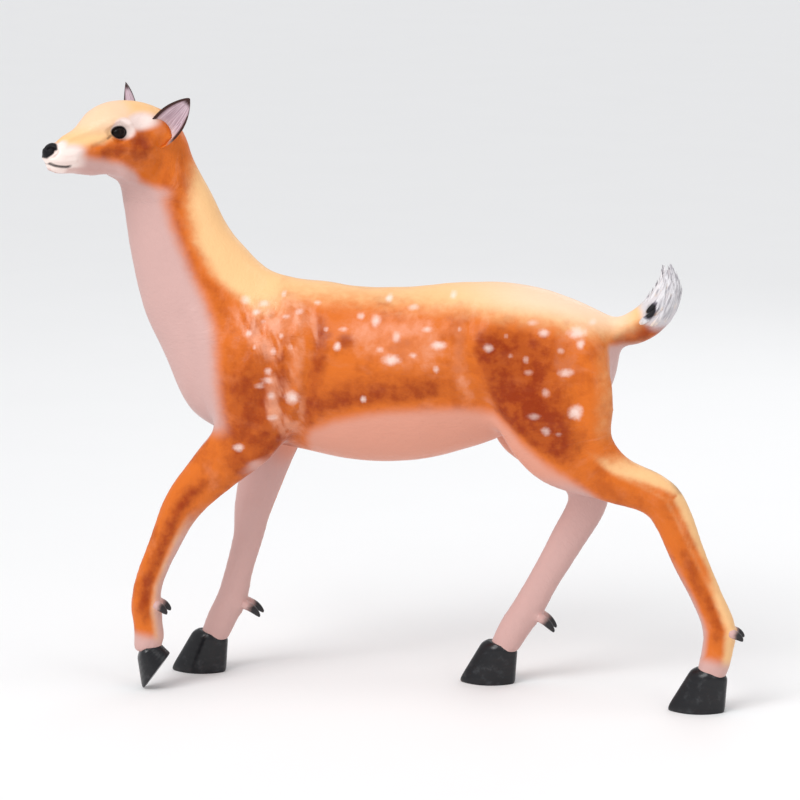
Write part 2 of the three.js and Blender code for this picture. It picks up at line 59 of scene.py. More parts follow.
MM = 0.001
MIDDLE = Vector((-18.19, 19.87, 0.0))  # from the doe's own middle to the part's middle
LEFT, RIGHT = -1, 1
FOOT_LINE = 64
HEAD_PLACE = Vector((-398, -7, 915))
HEAD_TURN = math.radians(222)
HEAD = Matrix.Translation(HEAD_PLACE) @ Matrix.Rotation(HEAD_TURN, 4, "Z")
EYE_PLACE = (80, 31, 21)
EYE_RADIUS = 12.6
EYE_OPENING = (12.2, 9.2)  # half length and half height of the gap between the lids
EAR_ROOT = (8, 36, 12)
EAR_CUT = 23  # how far out along the ear the casting's own ear is cut off
EAR_STEMS = {LEFT: (-0.26, 0.68, 0.68), RIGHT: (-0.18, 0.60, 0.78)}

# A hoof: its leg's side, the middle of its coronet, how far the toe tips down, its length and
# height against a full hoof, how far the front wall leans back, how far the coronet drops
HOOVES = [
    (LEFT, -405, 68.5, 54, 0.82, 0.58, 0.5, 0.75),
    (RIGHT, -318, 63, 0, 1.0, 1.0, 0.4, 0.3),
    (LEFT, 541, 63, 0, 1.0, 1.0, 0.4, 0.3),
    (RIGHT, 179, 63, 0, 1.0, 1.0, 0.4, 0.3),
]
HOOF_LENGTH, HOOF_WIDTH, HOOF_HEIGHT = 94, 53, 72
# Where a leg is cut above its hoof, and where its stump ends inside the hoof, in (x, z)
STUMPS = [
    (LEFT, (-400, 87), (-405, 64)),
    (RIGHT, (-308, 78), (-318, 52)),
    (LEFT, (545, 78), (539, 52)),
    (RIGHT, (191, 78), (179, 52)),
]
# A pair of dewclaws: the leg's side, the place behind the fetlock, how far they droop and reach
DEWCLAWS = [
    (LEFT, -390, 148, 0.35, 22),
    (RIGHT, -268, 124, 0.35, 31),
    (LEFT, 566, 136, 0.2, 22),
    (RIGHT, 236, 122, 0.5, 31),
]
DARK_BEND = (430, 654)  # the dark fleck on the inside of the tail's bend, as (x, z)
# The tail's middle line in (x, z), and its thickness along that line
TAIL_LINE = [(368, 614), (408, 624), (440, 652), (455, 684), (456, 708), (453, 728)]
TAIL_GIRTHS = [24, 27, 28, 22, 13, 4]
# Middle lines of the legs, in (x, z)
LEG_LINES = {
    (LEFT, "fore"): [(-218, 456), (-280, 384), (-338, 318), (-373, 246), (-399, 182),
                     (-404, 140), (-400, 104), (-399, 74)],
    (RIGHT, "fore"): [(-205, 456), (-222, 378), (-246, 292), (-255, 238), (-271, 180),
                      (-284, 128), (-301, 96), (-313, 62)],
    (LEFT, "hind"): [(302, 438), (372, 387), (456, 349), (503, 250), (531, 192),
                     (552, 140), (549, 100), (541, 60)],
    (RIGHT, "hind"): [(238, 446), (282, 388), (324, 330), (284, 244), (251, 184),
                      (220, 126), (200, 96), (184, 62)],
}


class DoeForm(bpy.types.PropertyGroup):
    """How finely the skin is made and how strongly it is modelled."""

    voxel: bpy.props.FloatProperty(
        name="Skin grid", description="Spacing of the skin's points on the body",
        default=0.0047, min=0.003, max=0.012, unit="LENGTH")
    evening: bpy.props.IntProperty(
        name="Evening passes", description="How often the flanks are smoothed",
        default=90, min=0, max=400)
    relief: bpy.props.FloatProperty(
        name="Relief", description="Strength of the muscles and creases",
        default=1.25, min=0.0, max=2.0, subtype="FACTOR")
    locks: bpy.props.IntProperty(
        name="Tail locks", description="How many locks of hair the tail carries",
        default=56, min=0, max=80)


class DoeCoat(bpy.types.PropertyGroup):
    """Colours of the painted coat."""

    orange: bpy.props.FloatVectorProperty(
        name="Orange", description="Main colour of the coat", subtype="COLOR",
        default=(0.66, 0.150, 0.016), min=0, max=1)
    russet: bpy.props.FloatVectorProperty(
        name="Russet", description="Shaded colour of haunch, shoulder and cheek", subtype="COLOR",
        default=(0.28, 0.030, 0.001), min=0, max=1)
    # Rosy: pale pink paint, also used as painted highlight on the shoulder, upper flank and haunch
    rosy: bpy.props.FloatVectorProperty(
        name="Rosy", description="Pale tufts on the shoulder and the upper flank", subtype="COLOR",
        default=(0.74, 0.27, 0.135), min=0, max=1)
    # Tufts: pink of the shoulder's tufts, partly painted highlight
    tuft: bpy.props.FloatVectorProperty(
        name="Tufts", description="Pink hair of the shoulder's tufts", subtype="COLOR",
        default=(0.84, 0.38, 0.24), min=0, max=1)
    # Cream: cream paint, also used as painted sunlight on the back, nape and head and as painted highlight on
    # the legs
    cream: bpy.props.FloatVectorProperty(
        name="Cream", description="Top of the back and the nape", subtype="COLOR",
        default=(0.88, 0.53, 0.25), min=0, max=1)
    # Belly: the white of the underside darkened to lilac-grey, painted shade
    belly: bpy.props.FloatVectorProperty(
        name="Belly", description="Underside, throat and inner legs", subtype="COLOR",
        default=(0.60, 0.375, 0.345), min=0, max=1)
    blush: bpy.props.FloatVectorProperty(
        name="Blush", description="Warm pink of the belly and groin", subtype="COLOR",
        default=(0.72, 0.30, 0.20), min=0, max=1)
    spot: bpy.props.FloatVectorProperty(
        name="Spots", description="Spots, muzzle and eye rings", subtype="COLOR",
        default=(0.92, 0.76, 0.70), min=0, max=1)
    # Black: also used for the painted shadow on the hock
    black: bpy.props.FloatVectorProperty(
        name="Black", description="Nose, hooves and rims", subtype="COLOR",
        default=(0.008, 0.007, 0.009), min=0, max=1)


class DoeStudio(bpy.types.PropertyGroup):
    """Camera, lights and floor."""

    azimuth: bpy.props.FloatProperty(
        name="Azimuth", description="Where the camera stands round the doe",
        default=math.radians(9), subtype="ANGLE")
    elevation: bpy.props.FloatProperty(
        name="Elevation", description="How far the camera looks down",
        default=math.radians(10.5), subtype="ANGLE")
    distance: bpy.props.FloatProperty(
        name="Distance", description="From the camera to the doe", default=6.0, unit="LENGTH")
    lens: bpy.props.FloatProperty(
        name="Lens", description="Focal length in millimetres", default=164.0, min=20)
    light: bpy.props.FloatProperty(
        name="Light", description="Strength of all lamps together", default=1.0, min=0)


def rise(values, low, high):
    """0 below low, 1 above high and smooth between them."""
    t = np.clip((values - low) / (high - low), 0, 1)
    return t * t * (3 - 2 * t)


def link(name, mesh, material):
    """A finished piece: it rides on the casting's body and stands for the casting."""
    piece = bpy.data.objects.new(name, mesh)
    bpy.context.scene.collection.objects.link(piece)
    mesh.materials.append(material)
    mesh.polygons.foreach_set("use_smooth", np.ones(len(mesh.polygons), bool))
    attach(piece, "root")
    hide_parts(CASTING)
    return piece


def mesh_from(bm, name):
    """Turns a bmesh in the doe's millimetres into a mesh in the part's metres."""
    bmesh.ops.translate(bm, verts=bm.verts, vec=MIDDLE)
    bmesh.ops.scale(bm, verts=bm.verts, vec=(MM, MM, MM))
    mesh = bpy.data.meshes.new(name)
    bm.to_mesh(mesh)
    bm.free()
    return mesh


# The skin


def merged_casting():
    """The casting's mesh in the doe's millimetres, with its doubles merged."""
    bm = bmesh.new()
    bm.from_mesh(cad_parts[CASTING].data)
    bmesh.ops.remove_doubles(bm, verts=bm.verts, dist=1e-5)
    bmesh.ops.scale(bm, verts=bm.verts, vec=(1 / MM,) * 3)
    bmesh.ops.translate(bm, verts=bm.verts, vec=-MIDDLE)
    return bm


def cut_off(bm, place, way, width, shift, taper):
    """Cuts off what stands beyond a place, within a width of the line through it along way,
    and closes the cut with a plug, shifted out of it and tapered."""
    way = way.normalized()
    near = []
    for face in bm.faces:
        offset = face.calc_center_median() - place
        ahead = offset.dot(way)
        if ahead > -45 and (offset - way * ahead).length < width:
            near.append(face)
    parts = set(near)
    for face in near:
        parts.update(face.edges)
        parts.update(face.verts)
    bmesh.ops.bisect_plane(bm, geom=list(parts), plane_co=place, plane_no=way, clear_outer=True)
    rim = [edge for edge in bm.edges if edge.is_boundary]
    caps = bmesh.ops.holes_fill(bm, edges=rim, sides=0)["faces"]
    grown = bmesh.ops.extrude_face_region(bm, geom=caps)["geom"]
    tips = [part for part in grown if isinstance(part, bmesh.types.BMVert)]
    bmesh.ops.delete(bm, geom=caps, context="FACES")
    centre = sum((vert.co for vert in tips), Vector()) / len(tips)
    for vert in tips:
        vert.co = centre + (vert.co - centre) * taper + shift


def ear_opening(hand):
    """The way an ear opens, in the doe's frame: the left one outwards, the right one ahead."""
    _, stem = ear_stem(hand)
    aside = 0.65 if hand == LEFT else 0.05
    opening = HEAD.to_3x3() @ Vector((0.7, -hand * aside, 0))
    return (opening - stem * opening.dot(stem)).normalized()


def ear_stem(hand):
    """Root and direction of an ear, in the doe's frame."""
    x, y, z = EAR_ROOT
    back, aside, up = EAR_STEMS[hand]
    root = HEAD @ Vector((x, -hand * y, z))
    return root, (HEAD.to_3x3() @ Vector((back, -hand * aside, up))).normalized()


def hoof_frame(hand, x, z, tip):
    """Frame of a hoof: x towards the toe, z up through the coronet."""
    turned = Matrix.Rotation(math.radians(-tip), 4, "Y") @ Matrix.Diagonal((-1, 1, 1, 1))
    return Matrix.Translation((x, hand * FOOT_LINE, z)) @ turned


def trimmed_casting():
    """The casting without its ears and hooves."""
    bm = merged_casting()
    for hand in (LEFT, RIGHT):
        root, stem = ear_stem(hand)
        cut_off(bm, root + stem * EAR_CUT, stem, 48, stem * 2, 0.7)
    for hand, (cut_x, cut_z), (end_x, end_z) in STUMPS:
        place = Vector((cut_x, hand * FOOT_LINE, cut_z))
        shift = Vector((end_x - cut_x, 0, end_z - cut_z))
        cut_off(bm, place, Vector((0, 0, -1)), 100, shift, 0.84)
    return bm


def remeshed(bm, voxel):
    """An even grid of squares over the shape, in the doe's millimetres."""
    mesh = bpy.data.meshes.new("doe_clay")
    bm.to_mesh(mesh)
    bm.free()
    clay = bpy.data.objects.new("doe_clay", mesh)
    bpy.context.scene.collection.objects.link(clay)
    grid = clay.modifiers.new("grid", "REMESH")
    grid.mode = "VOXEL"
    grid.voxel_size = voxel / MM
    graph = bpy.context.evaluated_depsgraph_get()
    graph.update()
    result = bpy.data.meshes.new_from_object(clay.evaluated_get(graph))
    bpy.data.objects.remove(clay)
    bpy.data.meshes.remove(mesh)
    return result


def read_points(mesh):
    points = np.empty(len(mesh.vertices) * 3, np.float32)
    mesh.vertices.foreach_get("co", points)
    return points.reshape(-1, 3).astype(float)


def write_points(mesh, points):
    mesh.vertices.foreach_set("co", points.astype(np.float32).ravel())
    mesh.update()


def read_normals(mesh):
    normals = np.empty(len(mesh.vertices) * 3, np.float32)
    mesh.vertex_normals.foreach_get("vector", normals)
    return normals.reshape(-1, 3).astype(float)


def spread(mesh, values, amount, passes):
    """Evens values out over a mesh: at each pass, every point moves by its amount towards the
    mean of its neighbours."""
    edges = np.empty(len(mesh.edges) * 2, np.int32)
    mesh.edges.foreach_get("vertices", edges)
    a, b = edges.reshape(-1, 2).T
    count = len(values)
    ring = np.bincount(a, minlength=count) + np.bincount(b, minlength=count)
    columns = [column.copy() for column in values.reshape(count, -1).T]
    for _ in range(passes):
        for at, column in enumerate(columns):
            total = np.bincount(a, column[b], count) + np.bincount(b, column[a], count)
            columns[at] = column + amount * (total / ring - column)
    return np.stack(columns, 1).reshape(values.shape)


def to_head(points):
    """Places in the head's own frame, its y keeping its sign on either side."""
    local = (points - np.array(HEAD_PLACE)) @ np.array(HEAD.to_3x3())
    return local


def head_share(points):
    """1 on the head, 0 on the neck and body."""
    local = to_head(points)
    away = np.hypot(local[:, 1], local[:, 2] * 0.8)
    return rise(local[:, 0], -34, 6) * (1 - rise(away, 78, 112)) * rise(local[:, 2], -104, -62)


def softness(points):
    """How much each place of the skin is evened out: flanks fully, legs and head little."""
    x, _, z = points.T
    amount = 0.5 - 0.40 * rise(460 - z, 0, 120)
    amount = np.minimum(amount, 0.5 - 0.44 * rise(x, 340, 400) * rise(z, 560, 600))
    amount = np.minimum(amount, 0.5 - 0.46 * head_share(points))
    for hand, claw_x, claw_z, _, reach in DEWCLAWS:
        away = np.linalg.norm(points - (claw_x + reach / 2, hand * FOOT_LINE, claw_z), axis=1)
        amount = np.minimum(amount, 0.02 + 0.2 * rise(away, 24, 42))
    return amount


def even_out(mesh, passes):
    """Smooths the facets away, and gives back the girth that smoothing takes."""
    points = read_points(mesh)
    amount = softness(points)
    smooth = spread(mesh, points, amount, passes)
    write_points(mesh, smooth)
    normals = read_normals(mesh)
    lost = ((points - smooth) * normals).sum(1)
    write_points(mesh, smooth + normals * spread(mesh, lost, amount, passes)[:, None])


def refine(mesh, chosen):
    """Splits the squares whose points are all chosen into four."""
    bm = bmesh.new()
    bm.from_mesh(mesh)
    bm.verts.ensure_lookup_table()
    edges = [edge for edge in bm.edges if chosen[edge.verts[0].index] and chosen[edge.verts[1].index]]
    bmesh.ops.subdivide_edges(bm, edges=edges, cuts=1, use_grid_fill=True)
    bm.to_mesh(mesh)
    bm.free()


def refine_head(mesh):
    """Makes the skin finer on the head, and again round the eyes, nose and mouth."""
    refine(mesh, head_share(read_points(mesh)) > 0.3)
    local = to_head(read_points(mesh))
    aside = np.abs(local[:, 1])
    eyes = np.linalg.norm(np.stack([local[:, 0] - 82, aside - 40, local[:, 2] - 22], 1), axis=1) < 30
    snout = local[:, 0] > 146
    refine(mesh, (eyes | snout) & (np.abs(local[:, 2]) < 80))
    points = read_points(mesh)
    near = head_share(points) * 0.5
    write_points(mesh, spread(mesh, points, near, 6))


# Sculpted strokes

# Strokes on the flanks and legs. Each is (sides, width, height, path in (x, z)): a ridge, or
# a groove where its height is negative.
BOTH = (LEFT, RIGHT)
BODY_STROKES = [
    (BOTH, 13, -4.0, [(-119, 652), (-111, 600), (-120, 540), (-130, 484), (-146, 438)]),
    (BOTH, 26, 3.0, [(-158, 640), (-156, 590), (-164, 530), (-174, 470)]),
    (BOTH, 15, -2.6, [(-262, 650), (-268, 590), (-262, 520), (-246, 462)]),
    (BOTH, 12, 2.2, [(-152, 664), (-188, 612), (-226, 556), (-236, 510)]),
    (BOTH, 8, -1.8, [(-176, 650), (-210, 600), (-238, 556)]),
    (BOTH, 9, -2.0, [(-184, 560), (-196, 515), (-214, 462), (-240, 425)]),
    (BOTH, 14, 1.8, [(-160, 450), (-176, 424), (-210, 404)]),
    (BOTH, 15, -3.4, [(143, 652), (141, 610), (150, 570), (163, 527), (180, 488), (214, 452)]),
    (BOTH, 26, 2.8, [(176, 640), (172, 600), (182, 560), (198, 515), (222, 480)]),
    (BOTH, 12, -2.2, [(296, 622), (314, 560), (322, 500), (336, 440), (368, 396)]),
    (BOTH, 16, 1.8, [(334, 600), (346, 540), (346, 480), (356, 430)]),
    (BOTH, 12, -1.4, [(236, 610), (252, 556), (262, 500), (270, 452)]),
    (BOTH, 12, -2.0, [(208, 476), (168, 502), (120, 514), (70, 512)]),
    (BOTH, 16, -2.2, [(-396, 836), (-369, 770), (-330, 690), (-290, 626)]),
    (BOTH, 18, 1.8, [(-356, 836), (-332, 772), (-292, 704), (-254, 656)]),
    (BOTH, 20, -2.2, [(-206, 688), (-230, 652), (-250, 616)]),
    (BOTH, 10, 1.2, [(-318, 640), (-300, 570), (-296, 510), (-290, 470)]),
    (BOTH, 10, -1.4, [(-342, 630), (-322, 560), (-318, 500)]),
    ((LEFT,), 6, -1.8, [(-362, 246), (-389, 188), (-395, 152)]),
    ((LEFT,), 6, -1.6, [(-286, 392), (-330, 340), (-350, 310)]),
    ((RIGHT,), 6, -1.8, [(-247, 244), (-262, 184), (-275, 136)]),
    ((RIGHT,), 6, -1.6, [(-214, 380), (-236, 320), (-242, 290)]),
    ((LEFT,), 7, -2.4, [(470, 330), (512, 250), (540, 190), (556, 152)]),
    ((LEFT,), 10, -2.6, [(330, 436), (384, 400), (436, 366)]),
    ((RIGHT,), 7, -2.4, [(330, 318), (294, 246), (262, 188), (234, 136)]),
    ((RIGHT,), 10, -2.6, [(262, 440), (296, 396), (322, 352)]),
    (BOTH, 6, 2.2, [(-178, 560), (-186, 510), (-184, 466), (-176, 440)]),
    (BOTH, 6, 2.0, [(-140, 640), (-138, 590), (-134, 540), (-140, 490)]),
    (BOTH, 6, 1.8, [(-212, 640), (-206, 600), (-196, 566)]),
    (BOTH, 6, -1.6, [(-162, 548), (-166, 500), (-164, 452)]),
    (BOTH, 5, -1.6, [(-196, 632), (-190, 590), (-182, 556)]),
]
# Bony knobs on the legs: side, (x, z), radius and height
KNOBS = [
    (LEFT, (-345, 305), 20, 2.4), (LEFT, (-366, 262), 15, -1.0), (LEFT, (-402, 136), 16, 2.0),
    (RIGHT, (-246, 294), 20, 2.4), (RIGHT, (-254, 250), 15, -1.0), (RIGHT, (-282, 132), 16, 2.0),
    (LEFT, (468, 356), 18, 2.8), (LEFT, (486, 300), 18, -1.2), (LEFT, (552, 140), 16, 2.0),
    (RIGHT, (330, 338), 18, 2.8), (RIGHT, (306, 288), 18, -1.2), (RIGHT, (224, 130), 16, 2.0),
]
# Strokes on the head, seen from its side: width, height and a path in (x, z) of its frame
HEAD_STROKES = [
    (7, 0.8, [(108, 34), (94, 42), (74, 43), (58, 36)]),
    (6, 2.0, [(98, 34), (82, 37), (66, 35)]),
    (4, -2.0, [(98, 14), (112, 5), (124, -1)]),
    (8, 2.0, [(104, 0), (76, -6), (46, -8), (26, -4)]),
    (9, -2.2, [(96, -14), (88, -32), (80, -50)]),
    (8, -2.4, [(14, 2), (6, -24), (12, -50)]),
    (7, -1.2, [(170, 7), (142, 14), (114, 20)]),
    (7, 1.4, [(172, -14), (150, -8), (128, -4)]),
    (6, 1.2, [(116, 30), (132, 24), (160, 14)]),
    (4.5, 1.3, [(196, -17), (186, -20), (170, -22), (154, -20)]),
    (4.0, 0.9, [(190, -35), (174, -37), (160, -35)]),
    (4.0, -1.6, [(196, 8), (186, 9), (176, 9)]),
    (2.2, -3.4, [(196, 0), (191, 2), (187, -1), (187, -5)]),
    (2.0, -1.4, [(180, 2), (181, -6), (187, -13), (194, -17)]),
]
MOUTH_LINE = [(193, -25), (187, -28), (178, -30), (168, -31), (160, -30)]


def curve_through(path, steps=6):
    """A smooth line through a few places."""
    path = np.array(path, float)
    ends = np.vstack([2 * path[0] - path[1], path, 2 * path[-1] - path[-2]])
    line = []
    for a, b, c, d in zip(ends[:-3], ends[1:-2], ends[2:-1], ends[3:]):
        for t in np.linspace(0, 1, steps, endpoint=False):
            line.append(0.5 * (2 * b + (c - a) * t + (2 * a - 5 * b + 4 * c - d) * t**2
                               + (3 * b - a - 3 * c + d) * t**3))
    line.append(path[-1])
    return np.array(line)


def distance_to_line(points, line):
    """Distance from each point to a line of short spans."""
    if len(line) == 1:
        return np.linalg.norm(points - line[0], axis=1)
    nearest = np.full(len(points), np.inf)
    for start, end in zip(line[:-1], line[1:]):
        span = end - start
        t = np.clip((points - start) @ span / max(span @ span, 1e-9), 0, 1)
        away = np.linalg.norm(points - start - t[:, None] * span, axis=1)
        nearest = np.minimum(nearest, away)
    return nearest


def stroke(points, normals, line, width, height):
    """Moves the skin along its normals near a line."""
    low, high = line.min(0) - 3 * width, line.max(0) + 3 * width
    near = np.flatnonzero(np.all((points > low) & (points < high), axis=1))
    away = distance_to_line(points[near], line)
    points[near] += normals[near] * (height * np.exp(-((away / width) ** 2)))[:, None]


def on_skin(tree, starts, way):
    """Where rays from the starts along way meet the skin."""
    found = []
    for start in starts:
        place = tree.ray_cast(Vector(start), Vector(way))[0]
        if place is not None:
            found.append(place[:])
    return np.array(found)


def tufted(points):
    """1 where the coat is shaggy: over the shoulder blades and down behind the shoulder."""
    x, _, z = points.T
    blades = 1 - rise(oval(x, z, (-178, 622), (84, 62), -18), 0.55, 1.1)
    lock = 1 - rise(oval(x, z, (-160, 500), (34, 84), 6), 0.5, 1.1)
    return np.maximum(blades, 0.8 * lock)


def lumps(points, size, stretch):
    """Soft noise in lumps of a size, drawn out downwards, for each place."""
    scaled = points / (size, size, size * stretch)
    return np.array([noise.noise(Vector(place)) for place in scaled])


def sculpt_body(mesh, relief):
    """Draws the muscles, creases and tufts of the body and legs into the skin."""
    points, normals = read_points(mesh), read_normals(mesh)
    tree = BVHTree.FromPolygons(points.tolist(), [p.vertices[:] for p in mesh.polygons])
    for sides, width, height, path in BODY_STROKES:
        for hand in sides:
            starts = [(x, hand * 400, z) for x, z in curve_through(path)]
            line = on_skin(tree, starts, (0, -hand, 0))
            if len(line) > 1:
                stroke(points, normals, line, width, height * relief)
    for hand, (x, z), radius, height in KNOBS:
        for side in BOTH:
            line = on_skin(tree, [(x, hand * FOOT_LINE + side * 60, z)], (0, -side, 0))
            if len(line):
                stroke(points, normals, line, radius, height * relief)
    body = 1 - head_share(points)
    trunk = body * rise(points[:, 2], 380, 460) * (1 - rise(points[:, 0], 330, 380))
    shaggy = tufted(points) * body
    raised = 2.4 * shaggy * lumps(points, 17, 1.9) + 0.9 * trunk * lumps(points, 38, 1.3)
    write_points(mesh, points + normals * (raised * relief)[:, None])


def sculpt_head(mesh, relief):
    """Draws the lids, cheeks, lips and nostrils into the skin."""
    points, normals = read_points(mesh), read_normals(mesh)
    tree = BVHTree.FromPolygons(points.tolist(), [p.vertices[:] for p in mesh.polygons])
    turn = HEAD.to_3x3()
    for width, height, path in HEAD_STROKES + [(1.8, -2.4, MOUTH_LINE)]:
        for side in BOTH:
            starts = [HEAD @ Vector((f, side * 120, up)) for f, up in curve_through(path)]
            line = on_skin(tree, starts, turn @ Vector((0, -side, 0)))
            if len(line) > 1:
                stroke(points, normals, line, width, height * relief)
    write_points(mesh, points)


def eye_frame(side):
    """Frame of an eye: x along the head, y out of the eye and z up."""
    x, y, z = EYE_PLACE
    out = Vector((0.16, side, 0.10)).normalized()
    ahead = Vector((1, 0, 0.10))
    along = (ahead - out * out.dot(ahead)).normalized()
    up = along.cross(out) * side
    turn = Matrix((along, out, up)).transposed().to_4x4()
    return HEAD @ Matrix.Translation((x, side * y, z)) @ turn


def open_eyes(mesh):
    """Shapes the lids round the eyeballs, and sinks the skin behind the gap between them."""
    points = read_points(mesh)
    half_long, half_high = EYE_OPENING
    for side in BOTH:
        place = eye_frame(side)
        local = (points - np.array(place.translation)) @ np.array(place.to_3x3())
        along, out, up = local.T
        near = (out > -6) & (np.hypot(along, up) < 34)
        pinch = 1 - 0.25 * np.abs(along) / half_long
        ring = np.hypot(along / half_long, up / (half_high * np.clip(pinch, 0.5, 1)))
        ball = np.sqrt(np.clip(EYE_RADIUS**2 - along**2 - up**2, 0, None))
        lid = ball + 2.2 * np.exp(-((ring - 1.22) / 0.2) ** 2) + 0.5
        inside = 1 - rise(ring, 0.86, 1.02)
        wrapped = 1 - rise(ring, 1.25, 2.3)
        skin = out * (1 - wrapped) + np.maximum(lid, out * 0.55) * wrapped
        target = skin * (1 - inside) + (ball - 5.0) * inside
        moved = local.copy()
        moved[:, 1] = np.where(near, target, out)
        back = moved @ np.array(place.to_3x3()).T + np.array(place.translation)
        points = np.where(near[:, None], back, points)
    write_points(mesh, points)


# The coat's masks

# Edges of the painted areas on the flank, as (x, z) or (z, x)
BELLY_EDGE = [(-300, 436), (-150, 442), (-118, 451), (-79, 469), (-34, 480), (10, 488), (53, 491),
              (95, 493), (138, 494), (181, 488), (211, 462), (226, 446), (269, 410), (312, 382),
              (355, 352), (400, 316)]
THROAT_EDGE = [(440, -258), (478, -272), (529, -278), (573, -281), (615, -286), (656, -302),
               (698, -325), (741, -344), (784, -362), (834, -376), (848, -392), (860, -412),
               (872, -432), (930, -470)]
NAPE_EDGE = [(620, -215), (640, -232), (671, -258), (699, -292), (755, -326), (812, -338),
             (855, -336), (890, -332)]
BACK_EDGE = [(-170, 676), (-60, 673), (60, 666), (130, 664), (185, 657), (270, 646), (337, 628),
             (370, 620), (400, 630), (440, 664)]
HAUNCH_EDGE = [(380, 330), (424, 262), (458, 222), (491, 184), (527, 166), (571, 153), (613, 144),
               (650, 146)]
# Painted shade between the tufts of the shoulder and behind it: place, radii and strength
TUFT_GAP_SHADE = [
    ((-57, 604), (24, 16), 0.75), ((-213, 620), (9, 22), 0.7), ((-163, 566), (9, 34), 0.7),
    ((-186, 640), (12, 9), 0.6), ((-232, 560), (9, 26), 0.5),
]
# Spots on the left flank: x, z, radius and strength. The right flank gets them mirrored and
# moved a bit.
SPOTS = [
    (-231, 662, 7, 0.7), (-221, 611, 6, 0.9), (-210, 645, 5, 0.8), (-200, 657, 6, 0.6),
    (-169, 672, 5, 0.8), (-187, 551, 6, 0.8), (-188, 536, 6, 0.7), (-179, 584, 6, 0.6),
    (-182, 511, 7, 0.7), (-201, 526, 5, 0.5), (-147, 508, 11, 0.95), (-166, 609, 5, 0.7),
    (-181, 474, 6, 0.6), (-239, 422, 7, 0.9), (-150, 592, 5, 0.6), (-140, 647, 5, 0.7),
    (-112, 660, 4, 0.6), (-73, 595, 7, 0.95), (-93, 621, 4, 0.6), (-64, 622, 4, 0.6),
    (-38, 642, 6, 0.7), (-12, 636, 9, 0.8), (17, 576, 9, 1.0), (-2, 592, 5, 0.6), (24, 612, 9, 0.6),
    (53, 584, 5, 0.6), (93, 600, 8, 0.95), (90, 562, 6, 0.8), (4, 668, 6, 0.9), (47, 657, 5, 0.6),
    (110, 676, 6, 0.8), (-29, 510, 6, 0.95), (73, 625, 5, 0.6), (174, 598, 7, 0.7),
    (235, 580, 6, 0.6), (262, 622, 7, 0.75), (315, 622, 10, 0.8), (322, 606, 8, 0.8),
    (291, 595, 5, 0.5), (300, 561, 7, 0.8), (318, 498, 12, 1.0), (269, 529, 7, 0.5),
    (250, 490, 6, 0.5), (270, 466, 7, 0.6), (202, 617, 4, 0.5), (240, 560, 5, 0.4),
    (291, 462, 4, 0.4), (126, 626, 4, 0.5), (337, 636, 5, 0.6), (243, 638, 5, 0.5),
    (-210, 590, 4, 0.6), (-198, 630, 4, 0.5), (-160, 640, 4, 0.6), (210, 586, 4, 0.4),
]


def along_edge(edge, values):
    edge = np.array(edge, float)
    return np.interp(values, edge[:, 0], edge[:, 1])


def leg_offsets(points, hand, which):
    """How far each place lies in front of a leg's middle line, and how far it is from it."""
    line = np.array(LEG_LINES[hand, which], float)
    flat = points[:, [0, 2]]
    nearest = np.full(len(points), np.inf)
    ahead = np.zeros(len(points))
    for start, end in zip(line[:-1], line[1:]):
        span = end - start
        t = np.clip((flat - start) @ span / (span @ span), 0, 1)
        offset = flat - start - t[:, None] * span
        away = np.linalg.norm(offset, axis=1)
        front = np.array([span[1], -span[0]]) / np.linalg.norm(span)
        front *= -np.sign(front[0]) if abs(front[0]) > 0.05 else 1
        closer = away < nearest
        nearest = np.where(closer, away, nearest)
        ahead = np.where(closer, offset @ front, ahead)
    return ahead, nearest


def leg_edges(points):
    """Pale edges of the legs: the front of each hind shank and the rear of each foreleg."""
    _, y, z = points.T
    mask = np.zeros(len(points))
    for hand, which in LEG_LINES:
        ahead, away = leg_offsets(points, hand, which)
        mine = (np.sign(y) == hand) & (away < 60)
        if which == "hind":
            edge = 0.8 * rise(ahead, 8, 26) * (1 - rise(z, 150, 330))
        else:
            edge = 0.75 * rise(-ahead, 6, 24) * (1 - rise(z, 240, 350))
        mask = np.maximum(mask, np.where(mine, edge, 0))
    return mask


def pasterns(points):
    """The pale band above each hoof."""
    mask = np.zeros(len(points))
    for hand, hoof_x, hoof_z, *_ in HOOVES:
        away = np.linalg.norm(points - (hoof_x, hand * FOOT_LINE, hoof_z), axis=1)
        mask = np.maximum(mask, 0.85 * (1 - rise(away, 24, 48)))
    return mask


def white_mask(points, normals):
    """Throat, chest, belly, inner legs, pasterns, muzzle, jaw and eye rings."""
    x, y, z = points.T
    outward = normals[:, 1] * np.sign(y)
    on_head = head_share(points)
    throat = rise(along_edge(THROAT_EDGE, z) - x, -30, 24) * rise(z, 420, 470)
    belly = rise(along_edge(BELLY_EDGE, x) - z, -22, 20) * rise(x, -150, -112) * (1 - rise(x, 330, 400))
    belly *= 1 - rise(outward, 0, 0.4) * rise(y, 20, 40) * rise(x, 150, 215)
    # Faces turned downwards take the underside's colour, its lilac-grey painted shade
    below = rise(-normals[:, 2], 0.25, 0.7) * rise(z, 360, 400) * (1 - rise(x, 360, 400))
    below *= 1 - 0.7 * rise(x, -215, -190) * (1 - rise(x, -130, -100))
    lower = 1 - rise(z, 470, 520)
    inner = rise(-outward, -0.08, 0.40) * lower * (1 - rise(x, 340, 600) * rise(z, 500, 560))
    chest = rise(0.55 - outward, 0, 0.4) * (1 - rise(x, -232, -212)) * lower * rise(z, 400, 430)
    rump = rise(x, 346, 366) * (1 - rise(np.abs(y), 34, 58)) * rise(z, 430, 480) * (1 - rise(z, 585, 610))
    parts = [throat, belly, below, inner, chest, rump, leg_edges(points), pasterns(points)]
    return np.maximum.reduce(parts) * (1 - on_head) + head_white(points) * on_head


def oval(along, up, centre, radii, turn=0.0):
    """Distance from a place in radii, for an oval turned by some degrees."""
    c, s = math.cos(math.radians(turn)), math.sin(math.radians(turn))
    a, b = along - centre[0], up - centre[1]
    return np.hypot((a * c + b * s) / radii[0], (b * c - a * s) / radii[1])


